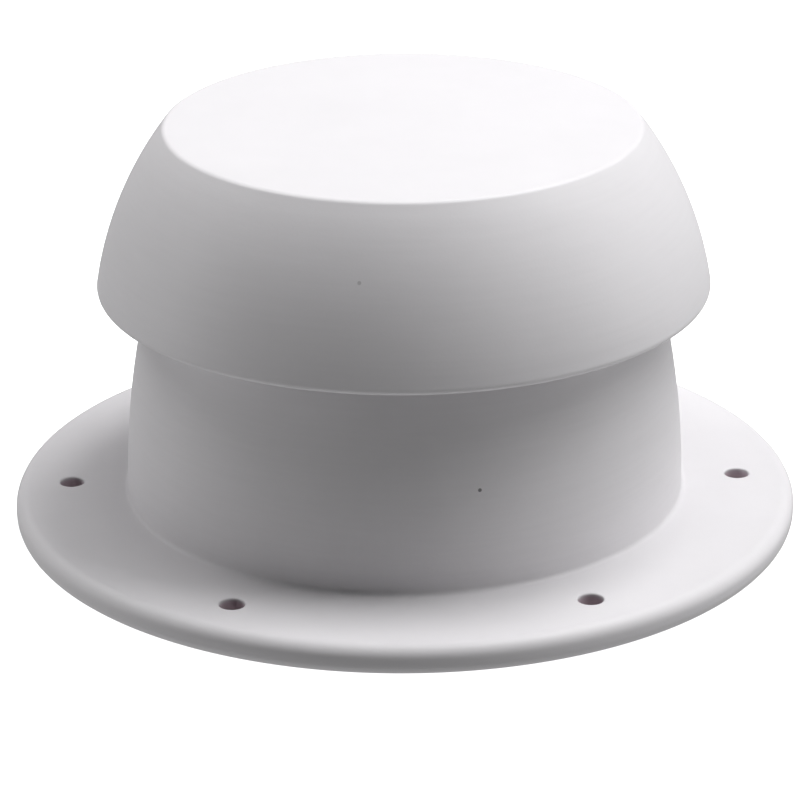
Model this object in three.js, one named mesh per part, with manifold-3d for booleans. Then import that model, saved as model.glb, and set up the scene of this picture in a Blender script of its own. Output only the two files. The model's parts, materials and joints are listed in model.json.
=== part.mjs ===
// Screw-down mushroom ventilator for a boat's deck: a round flange and a tapered neck in one moulding,
// a shallow domed cap over the neck's mouth, and inside it a threaded spindle that lifts and closes the cap.
// Millimetres, +Z up, origin at the centre of the flange's underside. The cap stands open, its rest place.
import * as THREE from "three";
import { mergeVertices } from "three/addons/utils/BufferGeometryUtils.js";
import Module from "manifold-3d";

const wasm = await Module();
wasm.setup();

// Sizes that can be chosen by themselves, in millimetres.
const FLANGE_WIDTH = 22.35; // from the neck's foot to the flange's edge
const FLANGE_T = 5.8;
const FLANGE_TOP_ROUND = 2.6;
const FLANGE_BOTTOM_ROUND = 3;
const DECK_HOLES = 6;
const DECK_HOLE_R = 2.4;
const DECK_HOLE_INSET = 11; // from the flange's edge
const DECK_HOLE_TURN = THREE.MathUtils.degToRad(1.04);

const NECK_FOOT_R = 55.15;
const NECK_TAPER = 8.45; // how much less the radius is at the mouth
const NECK_SIDE_R = 163; // the long convex curve up the side
const NECK_MOUTH_Z = 58;
const NECK_WALL = 2.5;
const NECK_FILLET = 1.5;
const NECK_LIP_ROUND = 0.7;

const GASKET_W = 4;
const GASKET_T = 1.7;
const GASKET_LAND = 1.6; // flange left between the gasket's groove and the deck holes

const TRAVEL = 10; // open to shut
const CAP_WALL = 2.5;
const CAP_RIM_DROP = 10.3; // how far the open cap's rim hangs below the neck's mouth
const CAP_SKIRT_GAP = 7.82; // air between the neck and the cap's rim
const CAP_SIDE_R = 70;
const CAP_CROWN_ROUND = 0.9;
const CAP_RIM_ROUND = 2; // outside; the inside corner is nearly sharp
const CAP_RIM_INNER_ROUND = 0.3;
const CAP_SHOULDER = 1.4; // how much less the crown's radius is than the closing plate's

const SEAL_T = 1.7;
const SEAL_INSIDE = 0.8; // seal past the lip, inwards
const SEAL_OUTSIDE = 0.3;
const PLATE_T = 2.6;
const PLATE_MARGIN = 0.6; // plate past the seal
const PLATE_BOSS_H = 4.9; // cap bosses that the plate is screwed to
const PLATE_BOSS_R = 4.2;
const PLATE_SCREW_INSET = 14.6; // from the plate's edge
const PLATE_SCREW_R = 1.75;
const PLATE_SCREW_LENGTH = 7;
const PLATE_SCREW_HEAD_R = 3.4;
const PLATE_SCREW_HEAD_T = 1.7;

const SPINDLE_R = 5;
const SPINDLE_TAIL_R = 4;
const SPINDLE_FLAT = 3.2; // from the axis to each drive flat
const SPINDLE_COLLAR_T = 3;
const SPINDLE_TIP_GAP = 0.3; // to the crown when shut
const THREAD_GRIP = 8.6; // spindle inside the insert when fully open
const INSERT_LENGTH = 10;
const INSERT_WALL = 2.05;
const INSERT_SLEEVE_WALL = 1.8;
const INSERT_CLIP_GAP = 2; // insert to circlip when shut

const WASHER_T = 1;
const WASHER_R = 8;
const CLIP_T = 1.1;
const CLIP_GROOVE_DEPTH = 0.8;
const CLIP_OPENING = THREE.MathUtils.degToRad(50);

const ARMS = 3;
const ARM_TURN = THREE.MathUtils.degToRad(90);
const ARM_W = 6;
const ARM_H = 6;
const BRIDGE_RING_T = 4;
const BRIDGE_RING_W = 3.6;
const HUB_H = 11;
const HUB_WALL = 3.4;
const BUSH_WALL = 1.7;
const BRIDGE_PAD_R = 5.5;
const BRIDGE_SCREW_INSET = 4.5; // from the ring's edge
const BRIDGE_SCREW_R = 2;
const BRIDGE_SCREW_LENGTH = 10;
const BRIDGE_SCREW_HEAD_R = 3.7;
const BRIDGE_SCREW_HEAD_T = 2.4;
const LUG_R = 5;
const LUG_ROOF = 1.7; // lug left above the screw's tip

const POST_R = 2.5;
const POST_INSET = 17.1; // from the bridge's screws, inwards
const POST_TAIL = 2; // post below its bush when open
const POST_SOCKET_DEPTH = 8;
const POST_SOCKET_WALL = 2;
const GUIDE_H = 8;
const GUIDE_BUSH_WALL = 1.6;
const GUIDE_BUSH_FLANGE_T = 0.8;
const GUIDE_BUSH_FLANGE_W = 1.2;
const GUIDE_PAD_WALL = 1.7;

const SCREEN_T = 0.8;
const SCREEN_POST_GAP = 1.2; // to the posts when shut
const SCREEN_EYE_GAP = 1.6; // round the spindle
const SCREEN_RIBS = 6;
const SCREEN_RIB_W = 2.5;
const SCREEN_RIB_DEPTH = 2.4;
const SCREEN_RING_T = 3;
const SCREEN_RING_W = 2.8;
const SCREEN_PIP_W = 5;
const SCREEN_PIP_H = 1.4;
const SCREEN_PIP_DEPTH = 0.9;

const KNOB_GAP = 5; // to the screen
const KNOB_R = 21;
const KNOB_LOBES = 5;
const KNOB_LOBE_DEPTH = 2.2;
const KNOB_H = 13;
const KNOB_GRIP_H = 9;
const KNOB_HUB_R = 9;
const KNOB_EDGE_ROUND = 1.2;
const KNOB_WEB_T = 1.1;
const KNOB_SCREW_R = 2;
const KNOB_SCREW_HEAD_R = 3.6;
const KNOB_SCREW_HEAD_T = 2.1;
const KNOB_SCREW_RECESS = 2.6;
const KNOB_SCREW_LENGTH = 9.7;

const SEAT_GAP = 0.3; // between faces that rest on each other
const SEAT_CLEARANCE = 0.2; // round a piece that is pressed, bonded or screwed in
const RUNNING_CLEARANCE = 0.1; // round a piece that turns or slides
const WALL_CLEARANCE = 0.5; // round a piece that drops in

// Sides of a turned shape.
const ROUND_LARGE = 48;
const ROUND_MEDIUM = 32;
const ROUND_SMALL = 16;

// Levels and radii that follow from them. Heights are at rest, with the cap open.
const flangeR = NECK_FOOT_R + FLANGE_WIDTH;
const deckHoleCircleR = flangeR - DECK_HOLE_INSET;
const gasketOuterR = deckHoleCircleR - DECK_HOLE_R - GASKET_LAND - SEAT_CLEARANCE;
const neckMouthR = NECK_FOOT_R - NECK_TAPER;

const sealZ = NECK_MOUTH_Z + TRAVEL + SEAT_GAP;
const sealOuterR = neckMouthR + SEAL_OUTSIDE;
const sealInnerR = neckMouthR - NECK_WALL - SEAL_INSIDE;
const plateZ = sealZ + SEAL_T + SEAT_CLEARANCE;
const plateTopZ = plateZ + PLATE_T;
const plateR = sealOuterR + PLATE_MARGIN;
const crownUnderZ = plateTopZ + PLATE_BOSS_H;
const capTopZ = crownUnderZ + CAP_WALL;
const capRimZ = NECK_MOUTH_Z - CAP_RIM_DROP;
const plateScrewCircleR = plateR - PLATE_SCREW_INSET;
const capCrownR = plateR - CAP_SHOULDER;

const spindleTopZ = crownUnderZ - TRAVEL - SPINDLE_TIP_GAP;
const insertZ = spindleTopZ - THREAD_GRIP;
const clipTopZ = insertZ - TRAVEL - INSERT_CLIP_GAP;
const clipZ = clipTopZ - CLIP_T;
const upperWasherZ = clipZ - SEAT_GAP - WASHER_T;
const bridgeTopZ = upperWasherZ - SEAT_GAP;
const hubZ = bridgeTopZ - HUB_H;
const lowerWasherZ = hubZ - SEAT_GAP - WASHER_T;
const collarTopZ = lowerWasherZ - SEAT_GAP;
const ringZ = bridgeTopZ - BRIDGE_RING_T;

const insertR = SPINDLE_R + RUNNING_CLEARANCE + INSERT_WALL;
const bushR = SPINDLE_R + RUNNING_CLEARANCE + BUSH_WALL;
const hubR = bushR + SEAT_CLEARANCE + HUB_WALL;
const guideBushR = POST_R + RUNNING_CLEARANCE + GUIDE_BUSH_WALL;
const guidePadR = guideBushR + SEAT_CLEARANCE + GUIDE_PAD_WALL;
const postZ = bridgeTopZ - GUIDE_H - POST_TAIL;
const screenZ = postZ - TRAVEL - SCREEN_POST_GAP - SCREEN_T;
const knobTopZ = screenZ - KNOB_GAP;
const knobZ = knobTopZ - KNOB_H;
const knobWebZ = knobZ + KNOB_SCREW_RECESS;
const spindleZ = knobWebZ + KNOB_WEB_T + SEAT_GAP;

// Materials, one for each kind of stuff.
const material = (color, roughness, metalness = 0) =>
  new THREE.MeshStandardMaterial({ color, roughness, metalness });
const WHITE_PLASTIC = material(0xf1f1f4, 0.45);
const KNOB_PLASTIC = material(0xe9e9ec, 0.4);
const BUSH_PLASTIC = material(0xe4dfd0, 0.5);
const BLACK_RUBBER = material(0x1c1c1e, 0.85);
const STAINLESS = material(0xb9bcc0, 0.3, 1);
const BRASS = material(0xc0a062, 0.35, 1);

// The centre of the circle of a given radius through two points of a section, on the axis's side of them.
function arcCentre(a, b, radius) {
  const middle = a.clone().add(b).multiplyScalar(0.5);
  const along = b.clone().sub(a);
  const half = along.length() / 2;
  const inward = new THREE.Vector2(-along.y, along.x).normalize();
  return middle.addScaledVector(inward, Math.sqrt(radius * radius - half * half));
}

// A curved side between two points of a section, given as (radius, height) from the lower to the upper.
class Side {
  constructor(lower, upper, radius) {
    this.centre = arcCentre(lower, upper, radius);
    this.radius = radius;
  }

  // The side's radius at a height, set in from its outer face.
  at(z, inset = 0) {
    const rise = z - this.centre.y;
    return this.centre.x + Math.sqrt((this.radius - inset) ** 2 - rise * rise);
  }

  // Section points from one height to another, evenly spaced in height.
  points(fromZ, toZ, count, inset = 0) {
    const heights = Array.from({ length: count }, (_, i) => fromZ + ((toZ - fromZ) * i) / (count - 1));
    return heights.map((z) => [this.at(z, inset), z]);
  }
}

// Section points with rounded corners: a point given as [radius, height, round] becomes an arc of that round.
function rounded(corners, closed, steps = 2) {
  const at = (i) => new THREE.Vector2(...corners[(i + corners.length) % corners.length]);
  return corners.flatMap(([, , round], i) => {
    const here = at(i);
    if (!round || (!closed && (i === 0 || i === corners.length - 1))) return [here];
    const before = at(i - 1).sub(here);
    const after = at(i + 1).sub(here);
    const half = Math.abs(before.clone().normalize().cross(after.clone().normalize()));
    const bend = Math.atan2(half, before.clone().normalize().dot(after.clone().normalize())) / 2;
    const reach = Math.min(round / Math.tan(bend), before.length() * 0.49, after.length() * 0.49);
    const start = here.clone().addScaledVector(before.normalize(), reach);
    const end = here.clone().addScaledVector(after.normalize(), reach);
    const curve = new THREE.QuadraticBezierCurve(start, here, end);
    return curve.getPoints(steps);
  });
}

// A solid from a closed geometry.
function solid(geometry) {
  const bare = geometry.clone();
  bare.deleteAttribute("normal");
  bare.deleteAttribute("uv");
  const merged = mergeVertices(bare, 1e-4);
  const mesh = new wasm.Mesh({
    numProp: 3,
    vertProperties: merged.attributes.position.array,
    triVerts: new Uint32Array(merged.index.array),
  });
  return new wasm.Manifold(mesh);
}

// The geometry of a solid.
function geometryOf(made) {
  const { vertProperties, triVerts } = made.getMesh();
  const geometry = new THREE.BufferGeometry();
  geometry.setAttribute("position", new THREE.BufferAttribute(vertProperties, 3));
  geometry.setIndex(new THREE.BufferAttribute(triVerts, 1));
  geometry.computeVertexNormals();
  return geometry;
}

// A section turned about Z. Corners go up the outside and down the inside, or from axis to axis.
function turned(corners, segments, closed = false) {
  const section = rounded(corners, closed);
  if (closed) section.push(section[0].clone());
  return solid(new THREE.LatheGeometry(section, segments).rotateX(Math.PI / 2));
}

// A ring of rectangular section between two radii, from z up by height.
const ring = (innerR, outerR, z, height, segments = ROUND_SMALL, round = 0) =>
  turned(
    [
      [innerR, z, round],
      [outerR, z, round],
      [outerR, z + height, round],
      [innerR, z + height, round],
    ],
    segments,
    true,
  );

// A disc or rod on Z, from z up by height.
const rod = (radius, z, height, segments = ROUND_SMALL, round = 0) =>
  turned(
    [
      [0, z],
      [radius, z, round],
      [radius, z + height, round],
      [0, z + height],
    ],
    segments,
  );

// A block centred on X at a distance along Y, from z up by height.
const block = (width, depth, z, height, y = 0) =>
  solid(new THREE.BoxGeometry(width, depth, height).translate(0, y, z + height / 2));

// A point on a circle about Z.
const onCircle = (radius, angle) => [radius * Math.cos(angle), radius * Math.sin(angle), 0];

// The angles of evenly spaced copies.
const spaced = (count, start = 0) =>
  Array.from({ length: count }, (_, i) => start + (i * 2 * Math.PI) / count);

const degrees = THREE.MathUtils.radToDeg;
const joined = (solids) => solids.reduce((all, one) => all.add(one));
const without = (from, solids) => solids.reduce((left, one) => left.subtract(one), from);

// The copies of a solid moved out to a circle, and the copies of one drawn along +Y turned into place.
const copiesOnCircle = (one, radius, angles) => angles.map((a) => one.translate(onCircle(radius, a)));
const copiesTurned = (one, angles) => angles.map((a) => one.rotate([0, 0, degrees(a) - 90]));

const armAngles = spaced(ARMS, ARM_TURN);
const plateScrewAngles = spaced(ARMS, ARM_TURN + Math.PI / ARMS);

const neckSide = new Side(
  new THREE.Vector2(NECK_FOOT_R, FLANGE_T),
  new THREE.Vector2(neckMouthR, NECK_MOUTH_Z),
  NECK_SIDE_R,
);
const capRimR = neckSide.at(capRimZ) + CAP_SKIRT_GAP + CAP_WALL;
const capSide = new Side(
  new THREE.Vector2(capRimR, capRimZ),
  new THREE.Vector2(capCrownR, capTopZ),
  CAP_SIDE_R,
);
const bridgeR = neckSide.at(bridgeTopZ, NECK_WALL) - WALL_CLEARANCE;
const bridgeScrewCircleR = bridgeR - BRIDGE_SCREW_INSET;
const postCircleR = bridgeScrewCircleR - POST_INSET;
const bridgeScrewTipZ = ringZ + BRIDGE_SCREW_LENGTH;
const screenTopZ = screenZ + SCREEN_T;
const screenR = neckSide.at(screenTopZ, NECK_WALL) - WALL_CLEARANCE;
const screenRingTopZ = screenZ - SEAT_GAP;
const screenRingZ = screenRingTopZ - SCREEN_RING_T;

// Everything inside the neck's outer face, which keeps what stands on its inner face from showing through.
const insideNeck = () =>
  turned(
    [
      [0, 0],
      [NECK_FOOT_R - NECK_WALL / 2, 0],
      ...neckSide.points(FLANGE_T, NECK_MOUTH_Z, 9, NECK_WALL / 2),
      [0, NECK_MOUTH_Z],
    ],
    ROUND_MEDIUM,
  );

// The flange and the neck, with the deck holes, the gasket's groove, and the bridge's lugs and the
// screen's stops on the inner face.
function deckBase() {
  const boreR = neckSide.at(FLANGE_T, NECK_WALL);
  const grooveTop = GASKET_T + SEAT_GAP;
  const grooveInnerR = gasketOuterR - GASKET_W - SEAT_CLEARANCE;
  const grooveOuterR = gasketOuterR + SEAT_CLEARANCE;
  const shell = turned(
    [
      [boreR, 0],
      [grooveInnerR, 0],
      [grooveInnerR, grooveTop],
      [grooveOuterR, grooveTop],
      [grooveOuterR, 0],
      [flangeR, 0, FLANGE_BOTTOM_ROUND],
      [flangeR, FLANGE_T, FLANGE_TOP_ROUND],
      [neckSide.at(FLANGE_T), FLANGE_T, NECK_FILLET],
      ...neckSide.points(FLANGE_T + 2 * NECK_FILLET, NECK_MOUTH_Z - NECK_WALL, 7),
      [neckMouthR, NECK_MOUTH_Z, NECK_LIP_ROUND],
      [neckSide.at(NECK_MOUTH_Z, NECK_WALL), NECK_MOUTH_Z, NECK_LIP_ROUND],
      ...neckSide.points(NECK_MOUTH_Z - NECK_WALL, FLANGE_T, 6, NECK_WALL),
    ],
    ROUND_LARGE,
    true,
  );
  const lugZ = bridgeTopZ + SEAT_GAP;
  const lugs = copiesOnCircle(
    rod(LUG_R, lugZ, bridgeScrewTipZ + LUG_ROOF - lugZ),
    bridgeScrewCircleR,
    armAngles,
  );
  const wallR = neckSide.at(screenTopZ);
  const ribZ = screenTopZ + SEAT_GAP;
  const ribY = neckSide.at(ribZ, NECK_WALL) - SCREEN_RIB_DEPTH;
  const rib = block(SCREEN_RIB_W, wallR - ribY, ribZ, bridgeTopZ - ribZ, (wallR + ribY) / 2);
  const ribs = copiesTurned(rib, spaced(SCREEN_RIBS, ARM_TURN + Math.PI / SCREEN_RIBS));
  const pipTop = screenRingZ - SEAT_GAP;
  const pipY = neckSide.at(pipTop, NECK_WALL) - SCREEN_PIP_DEPTH;
  const pip = block(SCREEN_PIP_W, wallR - pipY, pipTop - SCREEN_PIP_H, SCREEN_PIP_H, (wallR + pipY) / 2);
  const pips = copiesTurned(pip, spaced(SCREEN_RIBS, ARM_TURN));
  const onInnerFace = joined([...lugs, ...ribs, ...pips]).intersect(insideNeck());
  const holes = copiesOnCircle(
    rod(DECK_HOLE_R, -1, FLANGE_T + 2),
    deckHoleCircleR,
    spaced(DECK_HOLES, DECK_HOLE_TURN),
  );
  const screwHoles = copiesOnCircle(
    rod(BRIDGE_SCREW_R + SEAT_CLEARANCE, ringZ, BRIDGE_SCREW_LENGTH + SEAT_GAP),
    bridgeScrewCircleR,
    armAngles,
  );
  return without(shell.add(onInnerFace), [...holes, ...screwHoles]);
}

const deckGasket = () =>
  ring(gasketOuterR - GASKET_W, gasketOuterR, 0, GASKET_T, ROUND_LARGE);

// The three-armed bridge across the neck that carries the spindle and guides the cap's posts.
function spiderBridge() {
  const rim = ring(bridgeR - BRIDGE_RING_W, bridgeR, ringZ, BRIDGE_RING_T, ROUND_MEDIUM);
  const hub = rod(hubR, hubZ, HUB_H, ROUND_SMALL, 1);
  const armLength = bridgeR - BRIDGE_RING_W / 2;
  const arm = block(ARM_W, armLength, bridgeTopZ - ARM_H, ARM_H, armLength / 2);
  const guidePad = rod(guidePadR, bridgeTopZ - GUIDE_H, GUIDE_H);
  const screwPad = rod(BRIDGE_PAD_R, ringZ, BRIDGE_RING_T);
  const body = joined([
    rim,
    hub,
    ...copiesTurned(arm, armAngles),
    ...copiesOnCircle(guidePad, postCircleR, armAngles),
    ...copiesOnCircle(screwPad, bridgeScrewCircleR, armAngles),
  ]).intersect(rod(bridgeR, hubZ - 1, HUB_H + 2, ROUND_MEDIUM));
  const headRoom = rod(BRIDGE_SCREW_HEAD_R + WALL_CLEARANCE, hubZ, ringZ - hubZ);
  return without(body, [
    rod(bushR + SEAT_CLEARANCE, hubZ - 1, HUB_H + 2),
    ...copiesOnCircle(rod(guideBushR + SEAT_CLEARANCE, hubZ, HUB_H + 1), postCircleR, armAngles),
    ...copiesOnCircle(
      rod(BRIDGE_SCREW_R + SEAT_CLEARANCE, hubZ, HUB_H + 1),
      bridgeScrewCircleR,
      armAngles,
    ),
    ...copiesOnCircle(headRoom, bridgeScrewCircleR, armAngles),
  ]);
}

// A round-headed screw driven upwards, with its shank's foot at z and a cross recess in its head.
function panScrew(shankR, length, headR, headT, z) {
  const body = turned(
    [
      [0, z - headT],
      [headR, z - headT, headT * 0.6],
      [headR, z],
      [shankR, z],
      [shankR, z + length, shankR * 0.5],
      [0, z + length],
    ],
    ROUND_SMALL,
  );
  const slot = block(headR * 0.35, headR * 1.2, z - headT - 1, 1 + headT / 2);
  return without(body, [slot, slot.rotate([0, 0, 90])]);
}

const bridgeScrew = () =>
  panScrew(
    BRIDGE_SCREW_R,
    BRIDGE_SCREW_LENGTH,
    BRIDGE_SCREW_HEAD_R,
    BRIDGE_SCREW_HEAD_T,
    ringZ - SEAT_GAP,
  );

const hubBush = () => ring(SPINDLE_R + RUNNING_CLEARANCE, bushR, hubZ, HUB_H, ROUND_MEDIUM);

// A flanged bush in each guide pad.
function guideBush() {
  const flangeZ = bridgeTopZ + SEAT_GAP;
  const boreR = POST_R + RUNNING_CLEARANCE;
  return turned(
    [
      [boreR, bridgeTopZ - GUIDE_H],
      [guideBushR, bridgeTopZ - GUIDE_H],
      [guideBushR, flangeZ],
      [guideBushR + GUIDE_BUSH_FLANGE_W, flangeZ],
      [guideBushR + GUIDE_BUSH_FLANGE_W, flangeZ + GUIDE_BUSH_FLANGE_T],
      [boreR, flangeZ + GUIDE_BUSH_FLANGE_T],
    ],
    ROUND_SMALL,
    true,
  );
}

// The outline of the insect screen's wire cloth.
const insectScreen = () =>
  ring(SPINDLE_TAIL_R + SCREEN_EYE_GAP, screenR, screenZ, SCREEN_T, ROUND_MEDIUM);

const screenRing = () => {
  const outerR = neckSide.at(screenRingTopZ, NECK_WALL) - WALL_CLEARANCE;
  return ring(outerR - SCREEN_RING_W, outerR, screenRingZ, SCREEN_RING_T, ROUND_MEDIUM, 0.6);
};

// The domed cap with the bosses under its crown.
function capShell() {
  const rimRoundZ = capRimZ + 2 * CAP_RIM_ROUND;
  const shell = turned(
    [
      [0, crownUnderZ],
      ...capSide.points(crownUnderZ, rimRoundZ, 6, CAP_WALL),
      [capSide.at(capRimZ, CAP_WALL), capRimZ, CAP_RIM_INNER_ROUND],
      [capSide.at(capRimZ), capRimZ, CAP_RIM_ROUND],
      ...capSide.points(rimRoundZ, capTopZ - 2 * CAP_CROWN_ROUND, 7),
      [capCrownR, capTopZ, CAP_CROWN_ROUND],
      [0, capTopZ],
    ],
    ROUND_LARGE,
  );
  const bosses = copiesOnCircle(
    rod(PLATE_BOSS_R, plateTopZ + SEAT_CLEARANCE, PLATE_BOSS_H + CAP_WALL / 2),
    plateScrewCircleR,
    plateScrewAngles,
  );
  const pilots = copiesOnCircle(
    rod(PLATE_SCREW_R + SEAT_CLEARANCE, plateZ, PLATE_SCREW_LENGTH + SEAT_GAP),
    plateScrewCircleR,
    plateScrewAngles,
  );
  return without(joined([shell, ...bosses]), pilots);
}

// A countersunk screw driven upwards, its head's face at z.
function countersunkScrew(z) {
  const body = turned(
    [
      [0, z],
      [PLATE_SCREW_HEAD_R, z],
      [PLATE_SCREW_R, z + PLATE_SCREW_HEAD_T],
      [PLATE_SCREW_R, z + PLATE_SCREW_LENGTH, PLATE_SCREW_R * 0.5],
      [0, z + PLATE_SCREW_LENGTH],
    ],
    ROUND_SMALL,
  );
  const slot = block(PLATE_SCREW_HEAD_R * 0.3, PLATE_SCREW_HEAD_R * 1.1, z - 1, 1 + PLATE_SCREW_HEAD_T / 2);
  return without(body, [slot, slot.rotate([0, 0, 90])]);
}

// The plate that shuts the neck's mouth: a disc with a sleeve for the threaded insert and three sockets
// for the guide posts.
function closingPlate() {
  const sleeveZ = insertZ - SEAT_GAP;
  const sleeveBoreR = insertR + SEAT_CLEARANCE;
  const sleeve = rod(sleeveBoreR + INSERT_SLEEVE_WALL, sleeveZ, plateZ - sleeveZ + 1);
  const postBoreR = POST_R + SEAT_CLEARANCE;
  const socketZ = plateZ - POST_SOCKET_DEPTH;
  const sockets = copiesOnCircle(
    rod(postBoreR + POST_SOCKET_WALL, socketZ, POST_SOCKET_DEPTH + 1),
    postCircleR,
    armAngles,
  );
  const disc = rod(plateR, plateZ, PLATE_T, ROUND_MEDIUM, 0.7);
  const bores = copiesOnCircle(
    rod(postBoreR, socketZ - 1, POST_SOCKET_DEPTH + 1),
    postCircleR,
    armAngles,
  );
  const gap = SEAT_CLEARANCE;
  const screwHole = turned(
    [
      [0, plateZ - 1],
      [PLATE_SCREW_HEAD_R + gap + 1, plateZ - 1],
      [PLATE_SCREW_R + gap, plateZ + PLATE_SCREW_HEAD_T],
      [PLATE_SCREW_R + gap, plateTopZ + 1],
      [0, plateTopZ + 1],
    ],
    ROUND_SMALL,
  );
  return without(joined([disc, sleeve, ...sockets]), [
    ...bores,
    ...copiesOnCircle(screwHole, plateScrewCircleR, plateScrewAngles),
    rod(sleeveBoreR, sleeveZ - 1, INSERT_LENGTH + 2 * SEAT_GAP + 1),
    rod(SPINDLE_R + WALL_CLEARANCE, sleeveZ, plateTopZ - sleeveZ + 1),
  ]);
}

const closingSeal = () => ring(sealInnerR, sealOuterR, sealZ, SEAL_T, ROUND_LARGE);

const threadedInsert = () =>
  ring(SPINDLE_R + RUNNING_CLEARANCE, insertR, insertZ, INSERT_LENGTH, ROUND_MEDIUM);

const guidePost = () => rod(POST_R, postZ, plateZ - SEAT_GAP - postZ, ROUND_SMALL, 0.6);

// The spindle: a drive end with two flats, a collar below the hub, a circlip's groove above it, and the
// threaded length, drawn at the thread's outside diameter.
function spindle() {
  const grooveZ = clipZ - SEAT_GAP;
  const grooveTopZ = clipTopZ + SEAT_GAP;
  const collarZ = collarTopZ - SPINDLE_COLLAR_T;
  const body = turned(
    [
      [0, spindleZ],
      [SPINDLE_TAIL_R, spindleZ, 0.5],
      [SPINDLE_TAIL_R, collarZ],
      [WASHER_R, collarZ, 0.5],
      [WASHER_R, collarTopZ],
      [SPINDLE_R, collarTopZ],
      [SPINDLE_R, grooveZ],
      [SPINDLE_R - CLIP_GROOVE_DEPTH, grooveZ],
      [SPINDLE_R - CLIP_GROOVE_DEPTH, grooveTopZ],
      [SPINDLE_R, grooveTopZ],
      [SPINDLE_R, spindleTopZ, 0.8],
      [0, spindleTopZ],
    ],
    ROUND_MEDIUM,
  );
  const flatDepth = SPINDLE_TAIL_R - SPINDLE_FLAT;
  const flatY = SPINDLE_FLAT + flatDepth;
  const cutter = block(4 * SPINDLE_TAIL_R, 2 * flatDepth, spindleZ - 1, knobTopZ - spindleZ + 1, flatY);
  const screwBore = rod(KNOB_SCREW_R + SEAT_CLEARANCE, spindleZ - 1, KNOB_SCREW_LENGTH);
  return without(body, [cutter, cutter.rotate([0, 0, 180]), screwBore]);
}

// The lobed hand knob, with a socket for the spindle's flats from above and a screw's recess below.
function knob() {
  const edge = KNOB_EDGE_ROUND;
  const points = spaced(KNOB_LOBES * 8).map((a) => {
    const r = KNOB_R - edge - KNOB_LOBE_DEPTH * (0.5 - 0.5 * Math.cos(KNOB_LOBES * a));
    return new THREE.Vector2(r * Math.cos(a), r * Math.sin(a));
  });
  const grip = new THREE.ExtrudeGeometry(new THREE.Shape(points), {
    depth: KNOB_GRIP_H - 2 * edge,
    bevelThickness: edge,
    bevelSize: edge,
    bevelSegments: 1,
  });
  const hub = rod(KNOB_HUB_R, knobZ + 1, KNOB_H - 1, ROUND_SMALL, 1);
  const body = solid(grip.translate(0, 0, knobZ + edge)).add(hub);
  const flats = 2 * (SPINDLE_FLAT + SEAT_CLEARANCE);
  const socketZ = spindleZ - SEAT_GAP;
  const socket = rod(SPINDLE_TAIL_R + SEAT_CLEARANCE, socketZ, knobTopZ - socketZ + 1).intersect(
    block(4 * SPINDLE_TAIL_R, flats, socketZ - 1, knobTopZ - socketZ + 3),
  );
  const recess = rod(KNOB_SCREW_HEAD_R + WALL_CLEARANCE, knobZ - 1, KNOB_SCREW_RECESS + 1);
  return without(body, [socket, recess, rod(KNOB_SCREW_R + SEAT_CLEARANCE, knobZ, KNOB_H / 2)]);
}

const knobScrew = () =>
  panScrew(
    KNOB_SCREW_R,
    KNOB_SCREW_LENGTH - SEAT_GAP,
    KNOB_SCREW_HEAD_R,
    KNOB_SCREW_HEAD_T,
    knobWebZ - SEAT_GAP,
  );

const thrustWasher = (z) => ring(SPINDLE_R + SEAT_GAP, WASHER_R, z, WASHER_T, ROUND_MEDIUM);

// An open spring ring in the spindle's groove.
function circlip() {
  const innerR = SPINDLE_R - CLIP_GROOVE_DEPTH + SEAT_GAP;
  const half = CLIP_OPENING / 2;
  const outline = new THREE.Shape()
    .absarc(0, 0, WASHER_R - 0.5, half, 2 * Math.PI - half)
    .absarc(0, 0, innerR, 2 * Math.PI - half, half, true);
  outline.closePath();
  const plate = new THREE.ExtrudeGeometry(outline, {
    depth: CLIP_T,
    bevelEnabled: false,
    curveSegments: ROUND_SMALL,
  });
  return solid(plate.translate(0, 0, clipZ));
}

const vent = new THREE.Group();

// Adds a node: its name, its solid, its material and, for a copy, how far it is moved from the first.
function add(name, made, finish, offset = [0, 0, 0], parent = vent) {
  const mesh = new THREE.Mesh(geometryOf(made), finish);
  mesh.name = name;
  mesh.position.set(...offset);
  parent.add(mesh);
}

function addCopies(name, make, finish, radius, angles, parent) {
  angles.forEach((angle, i) => add(`${name}_${i + 1}`, make(), finish, onCircle(radius, angle), parent));
}

const base = new THREE.Group();
add("deck_base", deckBase(), WHITE_PLASTIC, [0, 0, 0], base);
add("deck_gasket", deckGasket(), BLACK_RUBBER, [0, 0, 0], base);
add("spider_bridge", spiderBridge(), WHITE_PLASTIC, [0, 0, 0], base);
addCopies("bridge_screw", bridgeScrew, STAINLESS, bridgeScrewCircleR, armAngles, base);
add("hub_bush", hubBush(), BUSH_PLASTIC, [0, 0, 0], base);
addCopies("guide_bush", guideBush, BUSH_PLASTIC, postCircleR, armAngles, base);
add("insect_screen", insectScreen(), STAINLESS, [0, 0, 0], base);
add("screen_ring", screenRing(), WHITE_PLASTIC, [0, 0, 0], base);
vent.add(base);

const cap = new THREE.Group();
add("cap_shell", capShell(), WHITE_PLASTIC, [0, 0, 0], cap);
add("closing_plate", closingPlate(), WHITE_PLASTIC, [0, 0, 0], cap);
addCopies(
  "plate_screw",
  () => countersunkScrew(plateZ),
  STAINLESS,
  plateScrewCircleR,
  plateScrewAngles,
  cap,
);
add("closing_seal", closingSeal(), BLACK_RUBBER, [0, 0, 0], cap);
add("threaded_insert", threadedInsert(), BRASS, [0, 0, 0], cap);
addCopies("guide_post", guidePost, STAINLESS, postCircleR, armAngles, cap);
vent.add(cap);

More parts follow.
